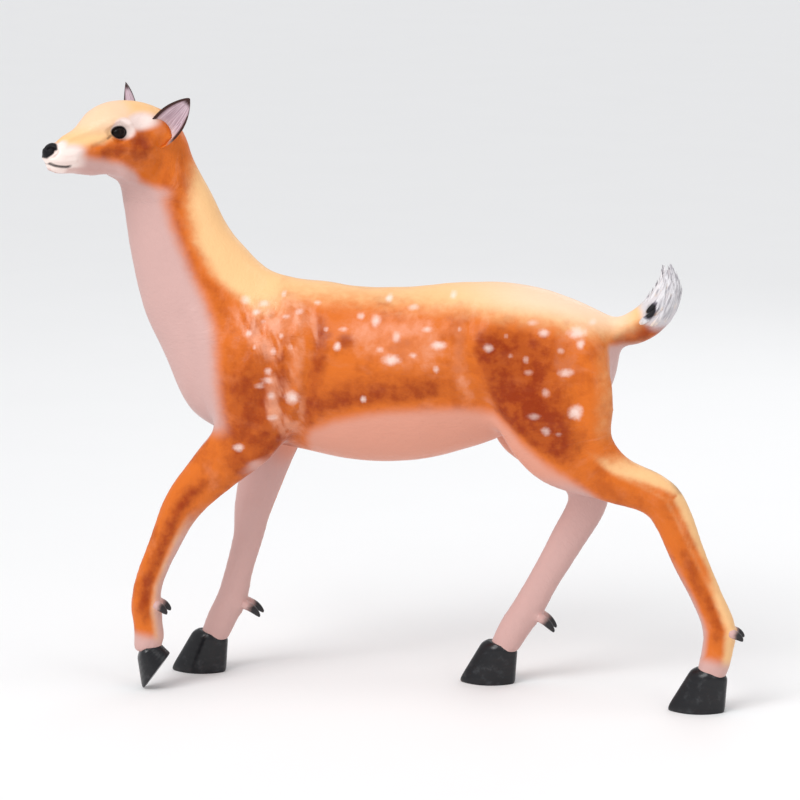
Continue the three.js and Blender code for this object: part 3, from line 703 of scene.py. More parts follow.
def head_white(points):
    """White of the eye rings, muzzle, jaw, crown and ear roots."""
    f, lateral, up = to_head(points).T
    jaw_edge = np.interp(f, [-10, 19, 37, 56, 78, 96, 120, 140, 155, 175],
                         [-80, -74, -64, -46, -32, -27, -22, -17, -10, 4])
    jaw = rise(jaw_edge - up, -18, 14)
    return np.clip(np.maximum(fair_mask(points), jaw), 0, 1)


def fair_mask(points):
    """The whitest places: the muzzle, round the eyes to the ear roots, and the top of the rump, where the
    paleness is painted sunlight, as on the top of the forehead.
    """
    f, lateral, up = to_head(points).T
    aside = np.abs(lateral)
    ring = (1 - rise(oval(f, up, (74, 29), (21, 18), 12), 0.6, 1.25)) * rise(aside, 22, 32)
    temple = (1 - rise(oval(f, up, (44, 38), (38, 16), -4), 0.3, 1.25)) * 0.85
    lip = rise(f, 128, 158) * (1 - rise(up, -6, 12)) * (1 - 0.7 * rise(-up, 30, 36))
    bridge = rise(f, 156, 174) * rise(aside, 2, 9) * (1 - rise(up, 6, 16))
    head = np.maximum.reduce([ring, temple, lip, bridge])
    head *= rise(up + 0.9 * np.maximum(f - 90, 0), -30, -8) * head_share(points)
    x, _, z = points.T
    # Painted sunlight: the top of the back and rump paler
    rump = 0.42 * rise(z - along_edge(BACK_EDGE, x), -14, 26) * rise(x, 60, 280) * (1 - rise(x, 380, 410))
    # Painted sunlight: the top of the forehead paler
    forehead = 0.25 * rise(up, 10, 40) * rise(f, 40, 70) * head_share(points)
    return np.maximum.reduce([head, rump, forehead])


def blush_mask(points):
    """Warm pink of the belly and groin."""
    x, _, z = points.T
    belly = rise(x, -240, -180) * (1 - rise(x, 380, 440)) * rise(z, 350, 400) * (1 - rise(z, 500, 540))
    return 0.85 * belly


def body_russet_and_shade(points):
    """Russet of the haunch, shoulder, lower flank, neck stripe, legs and under the tail: painted shade on the
    haunch, shoulder, lower flank, the crease, under the tail and between the tufts.
    """
    x, y, z = points.T
    # Painted shade on the lower flank above the belly
    over_belly = z - along_edge(BELLY_EDGE, x)
    flank = rise(over_belly, -4, 34) * (1 - rise(over_belly, 30, 100))
    flank *= rise(x, -170, -100) * (1 - 0.6 * rise(x, 70, 150))
    # Painted shade on the front of the haunch
    behind = x - along_edge(HAUNCH_EDGE, z)
    haunch = rise(behind, -14, 24) * (1 - 0.6 * rise(behind, 70, 160))
    haunch *= rise(z, 360, 460) * (1 - rise(z, 590, 660)) * (1 - rise(x, 290, 350))
    # Painted shade on the shoulder
    shoulder = rise(x, -300, -230) * (1 - rise(x, -170, -120)) * rise(z, 310, 400)
    shoulder *= (1 - rise(z, 530, 650)) * 0.7
    # Painted shade in the crease behind the shoulder
    crease_x = np.interp(z, [440, 540, 600, 650], [-132, -108, -98, -106])
    crease_shade = np.exp(-(((x - crease_x) / 18) ** 2)) * rise(z, 430, 470) * (1 - rise(z, 620, 665))
    stripe_x = np.interp(z, [620, 671, 699, 755, 812, 855, 890], [-262, -276, -310, -341, -352, -352, -350])
    stripe = np.exp(-(((x - stripe_x) / 18) ** 2)) * rise(z, 600, 650) * (1 - rise(z, 890, 930)) * 0.4
    # Painted shade under the tail
    shade_under_tail = rise(x, 356, 376) * rise(612 + 0.6 * (x - 360) - z, -6, 12) * rise(z, 570, 590) * 0.7
    legs = np.zeros(len(points))
    for hand, which in LEG_LINES:
        _, away = leg_offsets(points, hand, which)
        strength, top = (0.75, 400) if which == "fore" else (0.6, 310)
        band = strength * np.exp(-((away / 15) ** 2)) * (1 - rise(z, top - 60, top)) * rise(z, 90, 150)
        legs = np.maximum(legs, np.where(np.sign(y) == hand, band, 0))
    # Painted shade between the tufts
    tuft_gap_shade = [depth * (1 - rise(oval(x, z, place, radii), 0.3, 1.2)) for place, radii, depth in TUFT_GAP_SHADE]
    parts = [flank * 0.7, haunch, shoulder, crease_shade * 0.7, stripe, legs, shade_under_tail]
    return np.maximum.reduce(parts + tuft_gap_shade)


def russet_and_shade_mask(points):
    """Russet paint and painted shade of the body, cheek and behind the eye."""
    on_head = head_share(points)
    f, _, up = to_head(points).T
    # Russet paint and painted shade on the cheek and behind the eye
    cheek = (1 - rise(oval(f, up, (92, -8), (40, 22), -14), 0.2, 1.15)) * 0.7
    patch = (1 - rise(oval(f, up, (112, 8), (18, 22), 20), 0.1, 1.1)) * 0.5
    rear = (1 - rise(oval(f, up, (48, -4), (30, 40), 14), 0.2, 1.2)) * 0.8
    ridge = (1 - rise(oval(f, up, (112, 40), (20, 11), -40), 0.3, 1.0)) * 0.3
    head = np.maximum.reduce([cheek, patch, rear, ridge])
    return np.clip(body_russet_and_shade(points) * (1 - on_head) + head * on_head, 0, 1)


def rosy_and_highlight_mask(points):
    """Pale pinkish tufts: shoulder blade, two locks behind it, upper flank and flank fold, pink paint with
    painted highlights on it.
    """
    x, _, z = points.T
    # Pink paint and painted highlights on the tufts, upper flank, flank fold and thigh
    blade = (1 - rise(oval(x, z, (-172, 640), (78, 44), -12), 0.35, 1.1)) * 0.75
    front_lock = (1 - rise(oval(x, z, (-180, 506), (17, 66), 4), 0.3, 1.1)) * 0.8
    rear_lock = (1 - rise(oval(x, z, (-138, 566), (16, 84), -4), 0.3, 1.1)) * 0.7
    flank = (1 - rise(oval(x, z, (30, 606), (112, 56), -8), 0.4, 1.15)) * 0.75
    fold_x = np.interp(z, [480, 560, 620, 660], [150, 128, 124, 130])
    fold = np.exp(-(((x - fold_x) / 12) ** 2)) * rise(z, 480, 520) * (1 - rise(z, 640, 670)) * 0.8
    thigh = (1 - rise(oval(x, z, (300, 590), (26, 50), 0), 0.4, 1.1)) * 0.55
    body = np.maximum.reduce([blade, front_lock, rear_lock, flank, fold, thigh])
    return np.clip(body, 0, 1) * (1 - head_share(points))


def cream_and_sunlight_mask(points):
    """Nape, top of the back and rump, back edges of the thighs, forehead and top of the snout: cream paint,
    with painted sunlight on the upper surfaces and painted highlight on the thighs' edges.
    """
    x, y, z = points.T
    on_head = head_share(points)
    # Cream paint and painted sunlight on the nape, the top of the back and the rump
    nape = rise(x - along_edge(NAPE_EDGE, z), -16, 34) * (1 - rise(x, -200, -130)) * rise(z, 610, 690)
    back = 0.94 * rise(z - along_edge(BACK_EDGE, x), -42, 26) * rise(x, -250, -150)
    rear = rise(x, 332, 362) * rise(z, 420, 480) * (1 - rise(z, 590, 630)) * 0.30
    legs = np.zeros(len(points))
    for hand, which in LEG_LINES:
        ahead, away = leg_offsets(points, hand, which)
        mine = (np.sign(y) == hand) & (away < 60)
        # Painted highlights along the rear edges of the legs
        fore = 0.5 * rise(-ahead, 4, 18) * (1 - rise(z, 250, 340))
        hind = 0.85 * rise(-ahead, 2, 20) * (1 - rise(z, 395, 445))
        # No painted highlight on a line along the rear edge of each hind shank, leaving it darker
        hind *= 1 - 0.8 * np.exp(-(((ahead + 17) / 7) ** 2)) * rise(z, 190, 240) * (1 - rise(z, 370, 400))
        legs = np.maximum(legs, np.where(mine, fore if which == "fore" else hind, 0))
    body = np.maximum.reduce([nape, back, rear, legs])
    f, lateral, up = to_head(points).T
    # Cream paint and painted sunlight on the top of the head
    brow = np.interp(f, [-60, -10, 20, 50, 80, 110, 140, 170], [24, 42, 38, 30, 16, 3, -3, -8])
    head = 0.86 * rise(up - brow, -10, 14)
    return np.clip(body * (1 - on_head) + head * on_head, 0, 1)


def dark_mask(points):
    """Nose, nostrils, mouth line, lid rims and a painted shadow along the top of the hock."""
    f, lateral, up = to_head(points).T
    aside = np.abs(lateral)
    on_head = head_share(points)
    pad = np.interp(up, [-20, -14, -8, -2, 6], [200, 196, 189, 182, 180])
    nose = rise(f, pad - 2, pad + 2) * rise(up, -20, -15) * (1 - rise(aside, 15, 18))
    away = distance_to_line(np.stack([f, up], 1), curve_through(MOUTH_LINE))
    mouth = 0.85 * (1 - rise(away, 0.8, 3.2)) * rise(f, 156, 164)
    eye = oval(f - (aside - 43) * 0.16, up, (EYE_PLACE[0] + 1.6, EYE_PLACE[2] + 1.0), (13.2, 10.2), 6)
    lids = (1 - rise(eye, 0.96, 1.16)) * rise(aside, 26, 32)
    tear = distance_to_line(np.stack([f, up], 1), np.array([(94, 17), (101, 13)], float))
    lids = np.maximum(lids, 0.5 * (1 - rise(tear, 0.8, 3.0)) * rise(aside, 20, 28))
    head = np.maximum.reduce([nose, mouth, lids]) * on_head
    x, y, z = points.T
    # Painted shadow along the top edge of the near hind hock
    hock = distance_to_line(points[:, [0, 2]], np.array([(432, 407), (466, 393), (488, 366)], float))
    hock_shadow = 0.45 * (1 - rise(hock, 1, 7)) * (y < 0)
    bend = 0.9 * (1 - rise(oval(x, z, DARK_BEND, (8, 12), -20), 0.5, 1.3))
    return np.clip(np.maximum.reduce([head, hock_shadow, bend]), 0, 1)


def tail_mask(points):
    """The tail's white brush."""
    x, _, z = points.T
    return rise(x + (z - 640) * 0.5, 404, 436) * rise(z, 606, 640) * rise(x, 380, 400)


def spot_field(points):
    """Distance to the nearest spot, in that spot's radii, and its strength. Spots far away
    count as 3."""
    x, y, z = points.T
    field = np.full(len(points), 3.0)
    strength = np.zeros(len(points))
    for at, (spot_x, spot_z, radius, given) in enumerate(SPOTS):
        wander = 7 * math.sin(at * 2.4), 6 * math.cos(at * 3.7)
        lean = 0.8 + 0.3 * math.sin(at * 1.9)
        for hand in BOTH:
            shift_x, shift_z = (0, 0) if hand == LEFT else wander
            away = np.hypot((x - spot_x - shift_x) * lean, (z - spot_z - shift_z) / (0.9 + 0.2 * lean))
            away = np.where(np.sign(y - 0.01) == hand, away / radius, 3.0)
            strength = np.where(away < np.minimum(field, 2.9), given, strength)
            field = np.minimum(field, away)
    return np.where(head_share(points) > 0.5, 3.0, field), strength


def lay_of_hair(points):
    """Places stretched along the way the hair lies, so that streaks follow the body."""
    x, _, z = points.T
    ways = [
        ((1.0, 0, -0.15), (0, 0, 560), np.ones(len(points)) * 0.4),
        ((0.30, 0, -0.95), (-270, 0, 640), rise(z, 560, 760) * rise(-x, 140, 300)),
        ((-0.25, 0, -0.97), (-230, 0, 450), rise(480 - z, 0, 120) * (x < 60)),
        ((0.35, 0, -0.94), (300, 0, 450), rise(480 - z, 0, 120) * (x >= 60)),
        ((0.74, 0.67, 0), HEAD_PLACE, head_share(points) * 4),
    ]
    total = sum(weight for _, _, weight in ways)
    result = np.zeros_like(points)
    for way, origin, weight in ways:
        way = np.array(way) / np.linalg.norm(way)
        offset = points - np.array(origin, float)
        squeezed = points - np.outer(offset @ way, way) * 0.6
        result += squeezed * (weight / total)[:, None]
    return result * MM


def paint_masks(mesh):
    """Stores the painted areas, the spots and the lay of the hair on the skin's points."""
    points, normals = read_points(mesh), read_normals(mesh)
    field, strength = spot_field(points)
    masks = {
        "white": white_mask(points, normals), "fair": fair_mask(points), "blush": blush_mask(points),
        # The cream layer holds cream paint and painted sunlight, with painted highlight on the legs
        # The deep layer holds russet paint and painted shade
        # The rosy layer holds pink paint and painted highlights
        "cream": cream_and_sunlight_mask(points), "deep": russet_and_shade_mask(points), "rosy": rosy_and_highlight_mask(points),
        # The dark layer holds the black marks and the painted shadow on the hock
        "dark": dark_mask(points), "brush": tail_mask(points), "tuft": tufted(points),
        "spot": field, "spot_strength": strength,
    }
    for name, values in masks.items():
        layer = mesh.attributes.new(name, "FLOAT", "POINT")
        layer.data.foreach_set("value", values.astype(np.float32))
    lay = mesh.attributes.new("lay", "FLOAT_VECTOR", "POINT")
    lay.data.foreach_set("vector", lay_of_hair(points).astype(np.float32).ravel())


class DOE_OT_skin(bpy.types.Operator):
    """Sculpts the doe's skin from the casting and paints its masks"""

    bl_idname = "doe.skin"
    bl_label = "Skin"

    def execute(self, context):
        form = context.scene.doe_form
        mesh = remeshed(trimmed_casting(), form.voxel)
        even_out(mesh, form.evening)
        refine_head(mesh)
        sculpt_body(mesh, form.relief)
        sculpt_head(mesh, form.relief)
        open_eyes(mesh)
        paint_masks(mesh)
        mesh.transform(Matrix.Scale(MM, 4) @ Matrix.Translation(MIDDLE))
        link("doe_skin", mesh, coat_material())
        return {"FINISHED"}


# Ears, eyes, hooves and dewclaws


def ear_leaf(hand):
    """One ear: a flat grid rolled into a cupped leaf, then given its thickness."""
    bm = bmesh.new()
    bmesh.ops.create_grid(bm, x_segments=34, y_segments=18, size=0.5)
    along_layer = bm.verts.layers.float.new("along")
    across_layer = bm.verts.layers.float.new("across")
    root, stem = ear_stem(hand)
    opening = ear_opening(hand)
    across = opening.cross(stem)
    for vert in bm.verts:
        t, u = vert.co.x + 0.5, vert.co.y * 2
        vert[along_layer], vert[across_layer] = t, u
        leaf = math.sin(math.pi * (0.13 + 0.87 * t) ** 0.9) ** 0.72 if t < 1 else 0.0
        half = 25.0 * max(leaf, 0.03)
        roll = math.radians(118 - 78 * min(t / 0.55, 1) ** 0.8)
        radius = half / max(math.sin(min(roll, math.pi / 2)), 0.3)
        swing = u * roll
        wave = 0.8 * math.sin(9 * t + 2 * u) * abs(u) ** 3
        place = root + stem * (t * 1.10 - 0.10) * 98
        place += across * radius * math.sin(swing)
        place += opening * (radius * (1 - math.cos(swing)) - 9 * (1 - 0.4 * t) + 10 * t * t + wave)
        vert.co = place
    bmesh.ops.solidify(bm, geom=bm.faces[:], thickness=3.4)
    bmesh.ops.recalc_face_normals(bm, faces=bm.faces[:])
    return bm


def drawn_out(bm, segments, rings, layer):
    """Draws a capped circle out ring by ring and closes its far end. Each ring is a pair: how
    far along it counts, and where the point at an angle of it lies."""
    first = bmesh.ops.create_circle(bm, cap_ends=True, segments=segments, radius=1)["verts"]
    angles = {vert: math.atan2(vert.co.y, vert.co.x) for vert in first}
    rim = list({edge for vert in first for edge in vert.link_edges})
    for at, (along, place) in enumerate(rings):
        if at > 0:
            grown = bmesh.ops.extrude_edge_only(bm, edges=rim)["geom"]
            fresh = [part for part in grown if isinstance(part, bmesh.types.BMVert)]
            rim = [part for part in grown if isinstance(part, bmesh.types.BMEdge)
                   and all(vert in fresh for vert in part.verts)]
            angles = {vert: angle_below(vert, angles) for vert in fresh}
        for vert, angle in angles.items():
            vert.co = place(angle)
            vert[layer] = along
    bmesh.ops.holes_fill(bm, edges=rim, sides=0)


def angle_below(vert, angles):
    """Angle of the point that a newly drawn point came from."""
    others = (edge.other_vert(vert) for edge in vert.link_edges)
    return next(angles[other] for other in others if other in angles)


def hoof_ring(hoof, side, level):
    """Where the points of one claw's ring lie: a flat wall along the cleft and a curved outer
    wall that meets it at a blunt toe."""
    hand, x, z, tip, long, high, rake, drop = hoof
    place = hoof_frame(hand, x, z, tip)
    length, height = HOOF_LENGTH * long, HOOF_HEIGHT * high
    inset = max(0.045 - level, 0) * 1.6 + 0.13 * rise(level, 0.97, 1.06)
    toe = length * (0.76 - rake * max(level - 0.1, 0) / 0.9 - inset * 0.6)
    heel = length * (-0.24 - 0.04 * level + inset * 0.5)
    outer = (HOOF_WIDTH / 2) * (1.04 - 0.14 * level - inset)
    cleft = 2.4 * (1 - level) + 0.4

    def place_at(angle):
        c, s = math.cos(angle), math.sin(angle)
        forward = (c + 1) / 2
        bulge = max(math.sin(math.pi * (0.14 + 0.78 * forward)), 0) ** 0.6
        ahead = heel + (toe - heel) * forward ** 0.94
        aside = max(outer * bulge * max(s, 0) ** 0.55, cleft * forward + 0.2)
        drooped = level**2 * drop * (toe - ahead) / length
        return place @ Vector((ahead, side * aside, height * (level - 0.9 - 0.9 * drooped)))
    return place_at


class DOE_OT_ears(bpy.types.Operator):
    """Rolls the two ears"""

    bl_idname = "doe.ears"
    bl_label = "Ears"

    def execute(self, context):
        for hand, name in ((LEFT, "doe_ear_left"), (RIGHT, "doe_ear_right")):
            piece = link(name, mesh_from(ear_leaf(hand), name), ear_material())
            smooth = piece.modifiers.new("smooth", "SUBSURF")
            smooth.levels = smooth.render_levels = 1
        return {"FINISHED"}


def eyeball(bm, side):
    """A ball with a cornea that stands a little proud."""
    made = bmesh.ops.create_uvsphere(bm, u_segments=48, v_segments=32, radius=EYE_RADIUS)
    place = eye_frame(side)
    for vert in made["verts"]:
        away = math.hypot(vert.co.x, vert.co.z)
        if vert.co.y > 0 and away < 8:
            vert.co.y += 0.9 * (1 - (away / 8) ** 2)
        vert.co = place @ vert.co


class DOE_OT_eyes(bpy.types.Operator):
    """Sets the two glossy eyes"""

    bl_idname = "doe.eyes"
    bl_label = "Eyes"

    def execute(self, context):
        for side, name in ((1, "doe_eye_left"), (-1, "doe_eye_right")):
            bm = bmesh.new()
            eyeball(bm, side)
            bmesh.ops.recalc_face_normals(bm, faces=bm.faces[:])
            link(name, mesh_from(bm, name), eye_material())
        return {"FINISHED"}


def hoof_claw(bm, hoof, side, layer):
    """One claw of a hoof, drawn up from its sole to the coronet."""
    levels = [0.0, 0.03, 0.08, 0.2, 0.34, 0.48, 0.62, 0.75, 0.86, 0.94, 1.0, 1.04, 1.06]
    rings = [(level, hoof_ring(hoof, side, level)) for level in levels]
    drawn_out(bm, 28, rings, layer)


class DOE_OT_hooves(bpy.types.Operator):
    """Builds the four cloven hooves"""

    bl_idname = "doe.hooves"
    bl_label = "Hooves"

    def execute(self, context):
        names = ("doe_hoof_left_fore", "doe_hoof_right_fore", "doe_hoof_left_hind", "doe_hoof_right_hind")
        for hoof, name in zip(HOOVES, names):
            bm = bmesh.new()
            layer = bm.verts.layers.float.new("level")
            for side in BOTH:
                hoof_claw(bm, hoof, side, layer)
            bmesh.ops.recalc_face_normals(bm, faces=bm.faces[:])
            piece = link(name, mesh_from(bm, name), hoof_material())
            smooth = piece.modifiers.new("smooth", "SUBSURF")
            smooth.levels = smooth.render_levels = 2
        return {"FINISHED"}


def dewclaw_ring(dewclaw, side, along):
    """Where the points of a dewclaw's ring lie: it narrows and hooks down towards its tip."""
    hand, x, z, droop, reach = dewclaw
    back = Vector((math.cos(droop), side * 0.15, -math.sin(droop))).normalized()
    aside = Vector((0, 1, 0)).cross(back).normalized()
    over = back.cross(aside)
    middle = Vector((x, hand * FOOT_LINE + side * 11, z)) + back * reach * along
    middle.z -= 11 * max(along - 0.5, 0) ** 2 * reach / 22
    radius = 9.4 - 3.6 * along if along < 0.5 else 7.6 * (1 - ((along - 0.5) / 0.76) ** 2) ** 0.5
    return lambda angle: middle + (aside * math.cos(angle) + over * math.sin(angle)) * radius


class DOE_OT_dewclaws(bpy.types.Operator):
    """Sets the dewclaws behind the fetlocks"""

    bl_idname = "doe.dewclaws"
    bl_label = "Dewclaws"

    def execute(self, context):
        bm = bmesh.new()
        layer = bm.verts.layers.float.new("level")
        for dewclaw in DEWCLAWS:
            for side in BOTH:
                alongs = [0.1, 0.3, 0.5, 0.7, 0.9, 1.05, 1.17, 1.24]
                rings = [(along, dewclaw_ring(dewclaw, side, along)) for along in alongs]
                drawn_out(bm, 14, rings, layer)
        bmesh.ops.recalc_face_normals(bm, faces=bm.faces[:])
        piece = link("doe_dewclaws", mesh_from(bm, "doe_dewclaws"), dewclaw_material())
        smooth = piece.modifiers.new("smooth", "SUBSURF")
        smooth.levels = smooth.render_levels = 1
        return {"FINISHED"}


def lock_ring(start, span, angle, size, along):
    """Where the points of a ring of one lock lie, for a lock that starts part of the way up the
    tail and ends in a tip that stands off a little."""
    line = curve_through(TAIL_LINE)
    girths = curve_through([(girth, 0) for girth in TAIL_GIRTHS])[:, 0]
    last = len(line) - 1
    at = min((start + span * along) * last, last - 0.001)
    x, z = (np.interp(at, range(last + 1), line[:, axis]) for axis in (0, 1))
    girth = np.interp(at, range(last + 1), girths)
    step = line[min(int(at) + 1, last)] - line[int(at)]
    way = Vector((step[0], 0, step[1])).normalized()
    over = way.cross(Vector((0, 1, 0)))
    outward = over * math.cos(angle) + Vector((0, 1, 0)) * math.sin(angle)
    aside = way.cross(outward)
    middle = Vector((x, 0, z)) + outward * (girth * (0.84 + 0.08 * along) + 5.0 * along**3)
    thin = max((1 - along**1.5) * min(0.35 + 4 * along, 1), 0.04)
    wide, deep = size * thin, 0.55 * size * thin
    return lambda turn: middle + aside * wide * math.cos(turn) + outward * deep * math.sin(turn)


class DOE_OT_tail(bpy.types.Operator):
    """Lays the locks of the tail's brush"""

    bl_idname = "doe.tail"
    bl_label = "Tail locks"

    def execute(self, context):
        bm = bmesh.new()
        along_layer = bm.verts.layers.float.new("along")
        shade_layer = bm.verts.layers.float.new("shade")
        count = context.scene.doe_form.locks
        for at in range(count):
            start = 0.20 + 0.46 * (at / count) ** 0.8
            span = 0.34 + 0.12 * math.sin(at * 2.1)
            angle = at * 2.39996 + 0.3 * math.sin(at * 1.3)
            lean = 0.5 * math.sin(at * 1.7)
            size = 7.2 - 2.0 * at / count + 1.2 * math.sin(at * 3.1)
            alongs = [0.0, 0.1, 0.25, 0.4, 0.55, 0.7, 0.85, 0.95, 1.0]
            rings = [(along, lock_ring(start, span, angle + lean * along, size, along)) for along in alongs]
            before = len(bm.verts)
            drawn_out(bm, 10, rings, along_layer)
            bm.verts.ensure_lookup_table()
            for vert in bm.verts[before:]:
                at_bend = 1 - rise(oval(vert.co.x, vert.co.z, DARK_BEND, (9, 14), -20), 0.5, 1.2)
                vert[shade_layer] = 0.4 * (at * 0.618 % 1) + 2 * at_bend
        bmesh.ops.recalc_face_normals(bm, faces=bm.faces[:])
        piece = link("doe_tail_locks", mesh_from(bm, "doe_tail_locks"), brush_material())
        smooth = piece.modifiers.new("smooth", "SUBSURF")
        smooth.levels = smooth.render_levels = 1
        return {"FINISHED"}


# Materials


class Nodes:
    """Short ways to lay out a node tree."""

    def __init__(self, tree):
        self.tree = tree

    def add(self, kind, **settings):
        node = self.tree.nodes.new(kind)
        for name, value in settings.items():
            setattr(node, name, value)
        return node

    def join(self, source, target):
        self.tree.links.new(source, target)

    def mask(self, name):
        return self.add("ShaderNodeAttribute", attribute_name=name).outputs["Fac"]

    def noise(self, vector, scale, detail=3.0, roughness=0.55):
        node = self.add("ShaderNodeTexNoise")
        node.inputs["Scale"].default_value = scale
        node.inputs["Detail"].default_value = detail
        node.inputs["Roughness"].default_value = roughness
        if vector is not None:
            self.join(vector, node.inputs["Vector"])
        return node.outputs["Fac"]

    def stretched(self, vector, turn, stretch):
        """Places drawn out along the upright that is turned about the crosswise axis."""
        node = self.add("ShaderNodeMapping", vector_type="TEXTURE")
        node.inputs["Rotation"].default_value = (0, turn, 0)
        node.inputs["Scale"].default_value = (1, 1, stretch)
        self.join(vector, node.inputs["Vector"])
        return node.outputs["Vector"]

    def spread(self, value, low, high, to_low=0.0, to_high=1.0):
        node = self.add("ShaderNodeMapRange", interpolation_type="SMOOTHSTEP")
        self.join(value, node.inputs["Value"])
        for name, setting in (("From Min", low), ("From Max", high), ("To Min", to_low), ("To Max", to_high)):
            node.inputs[name].default_value = setting
        return node.outputs["Result"]

    def calc(self, operation, *values):
        node = self.add("ShaderNodeMath", operation=operation)
        for socket, value in zip(node.inputs, values):
            if isinstance(value, (int, float)):
                socket.default_value = value
            else:
                self.join(value, socket)
        return node.outputs["Value"]

    def mix(self, factor, a, b):
        node = self.add("ShaderNodeMix", data_type="RGBA")
        for socket, value in ((node.inputs[0], factor), (node.inputs[6], a), (node.inputs[7], b)):
            if isinstance(value, (int, float)):
                socket.default_value = value
            elif isinstance(value, bpy.types.NodeSocket):
                self.join(value, socket)
            else:
                socket.default_value = (*value, 1)
        return node.outputs[2]


def group_of(name, inputs, build):
    """A shader group, built once: inputs are (name, kind, default)."""
    found = bpy.data.node_groups.get(name)
    if found is not None:
        return found
    tree = bpy.data.node_groups.new(name, "ShaderNodeTree")
    for label, kind, default in inputs:
        socket = tree.interface.new_socket(label, in_out="INPUT", socket_type=kind)
        if default is not None:
            socket.default_value = default
    tree.interface.new_socket("Value", in_out="OUTPUT", socket_type="NodeSocketFloat")
    nodes = Nodes(tree)
    start = nodes.add("NodeGroupInput")
    end = nodes.add("NodeGroupOutput")
    nodes.join(build(nodes, start.outputs), end.inputs["Value"])
    return tree


def hair_strokes():
    """Height of short carved hair strokes, along the stretched places that it is given."""
    def build(nodes, given):
        fine = nodes.noise(given["Places"], 330.0, 2.0, 0.5)
        coarse = nodes.noise(given["Places"], 110.0, 2.0, 0.5)
        both = nodes.calc("MULTIPLY_ADD", fine, 0.5, coarse)
        return nodes.calc("MULTIPLY", both, given["Depth"])
    inputs = [("Places", "NodeSocketVector", None), ("Depth", "NodeSocketFloat", 1.0)]
    return group_of("hair_strokes", inputs, build)


def coat_tones(nodes, coat, places, lay):
    """The coat's colour: orange, then russet paint and painted shade, rosy paint and painted highlights,
    cream paint and painted sunlight, and the pale areas in a lilac-grey of painted shade, over one another.
    """
    edge = airbrush_edge()
    areas = {name: place_group(nodes, edge, Mask=nodes.mask(name), Places=places, Raggedness=ragged)
             for name, ragged in (("deep", 0.4), ("rosy", 0.8), ("cream", 0.25), ("white", 0.12))}
    patches = nodes.noise(places, 24.0, 4.0, 0.55)
    strands = nodes.noise(lay, 40.0, 3.0, 0.55)
    blotch = nodes.calc("MULTIPLY", nodes.spread(patches, 0.46, 0.70), 0.40)
    uneven = nodes.spread(nodes.noise(places, 34.0, 3.0, 0.6), 0.34, 0.6, 0.62, 1.0)
    # Russet paint and painted shade where the deep layer lies
    deep = nodes.calc("MULTIPLY", areas["deep"], uneven)
    colour = nodes.mix(nodes.calc("MAXIMUM", deep, blotch), coat.orange, coat.russet)
    shaded = nodes.spread(areas["deep"], 0.0, 1.0, 0.28, 0.06)
    pale = nodes.calc("MULTIPLY", nodes.spread(strands, 0.50, 0.76), shaded)
    # Rosy paint and painted highlights
    broken = nodes.calc("MULTIPLY", areas["rosy"], nodes.spread(patches, 0.34, 0.56, 1.0, 0.35))
    colour = nodes.mix(nodes.calc("MAXIMUM", broken, pale), colour, coat.rosy)
    # Pink tufts on the shoulder, partly painted highlight
    locks = nodes.noise(nodes.stretched(places, -0.35, 3.5), 62.0, 2.0, 0.5)
    tufts = nodes.calc("MULTIPLY", nodes.mask("tuft"), nodes.spread(locks, 0.40, 0.66))
    colour = nodes.mix(nodes.calc("MULTIPLY", tufts, 0.7), colour, coat.tuft)
    # Cream paint and painted sunlight on the upper surfaces, painted highlight on the legs
    colour = nodes.mix(areas["cream"], colour, coat.cream)
    # The pale underside in lilac-grey, painted shade, warmer where it blushes
    underside = nodes.mix(nodes.mask("blush"), coat.belly, coat.blush)
    return nodes.mix(areas["white"], colour, underside)


def airbrush_edge():
    """A soft painted edge: a mask that noise makes ragged between its ends."""
    def build(nodes, given):
        grain = nodes.noise(given["Places"], 60.0, 4.0, 0.6)
        wobble = nodes.calc("MULTIPLY", nodes.calc("SUBTRACT", grain, 0.5), given["Raggedness"])
        rest = nodes.calc("SUBTRACT", 1.0, given["Mask"])
        between = nodes.calc("MULTIPLY", nodes.calc("MULTIPLY", given["Mask"], rest), 8.0)
        ragged = nodes.calc("MULTIPLY_ADD", wobble, between, given["Mask"])
        return nodes.spread(ragged, 0.04, 0.96)
    return group_of("airbrush_edge", [
        ("Mask", "NodeSocketFloat", 0.0), ("Places", "NodeSocketVector", None),
        ("Raggedness", "NodeSocketFloat", 0.3)], build)


def place_group(nodes, tree, **given):
    node = nodes.add("ShaderNodeGroup")
    node.node_tree = tree
    for name, value in given.items():
        if isinstance(value, (int, float)):
            node.inputs[name].default_value = value
        else:
            nodes.join(value, node.inputs[name])
    return node.outputs["Value"]


def new_material(name):
    """A material with its shader, or None and the material if it was made before."""
    material = bpy.data.materials.get(name)
    if material is not None:
        return material, None, None
    material = bpy.data.materials.new(name)
    material.use_nodes = True
    nodes = Nodes(material.node_tree)
    shader = next(node for node in material.node_tree.nodes if node.type == "BSDF_PRINCIPLED")
    return material, nodes, shader


def bump(nodes, shader, height, distance, strength=1.0):
    node = nodes.add("ShaderNodeBump")
    node.inputs["Strength"].default_value = strength
    node.inputs["Distance"].default_value = distance
    nodes.join(height, node.inputs["Height"])
    nodes.join(node.outputs["Normal"], shader.inputs["Normal"])


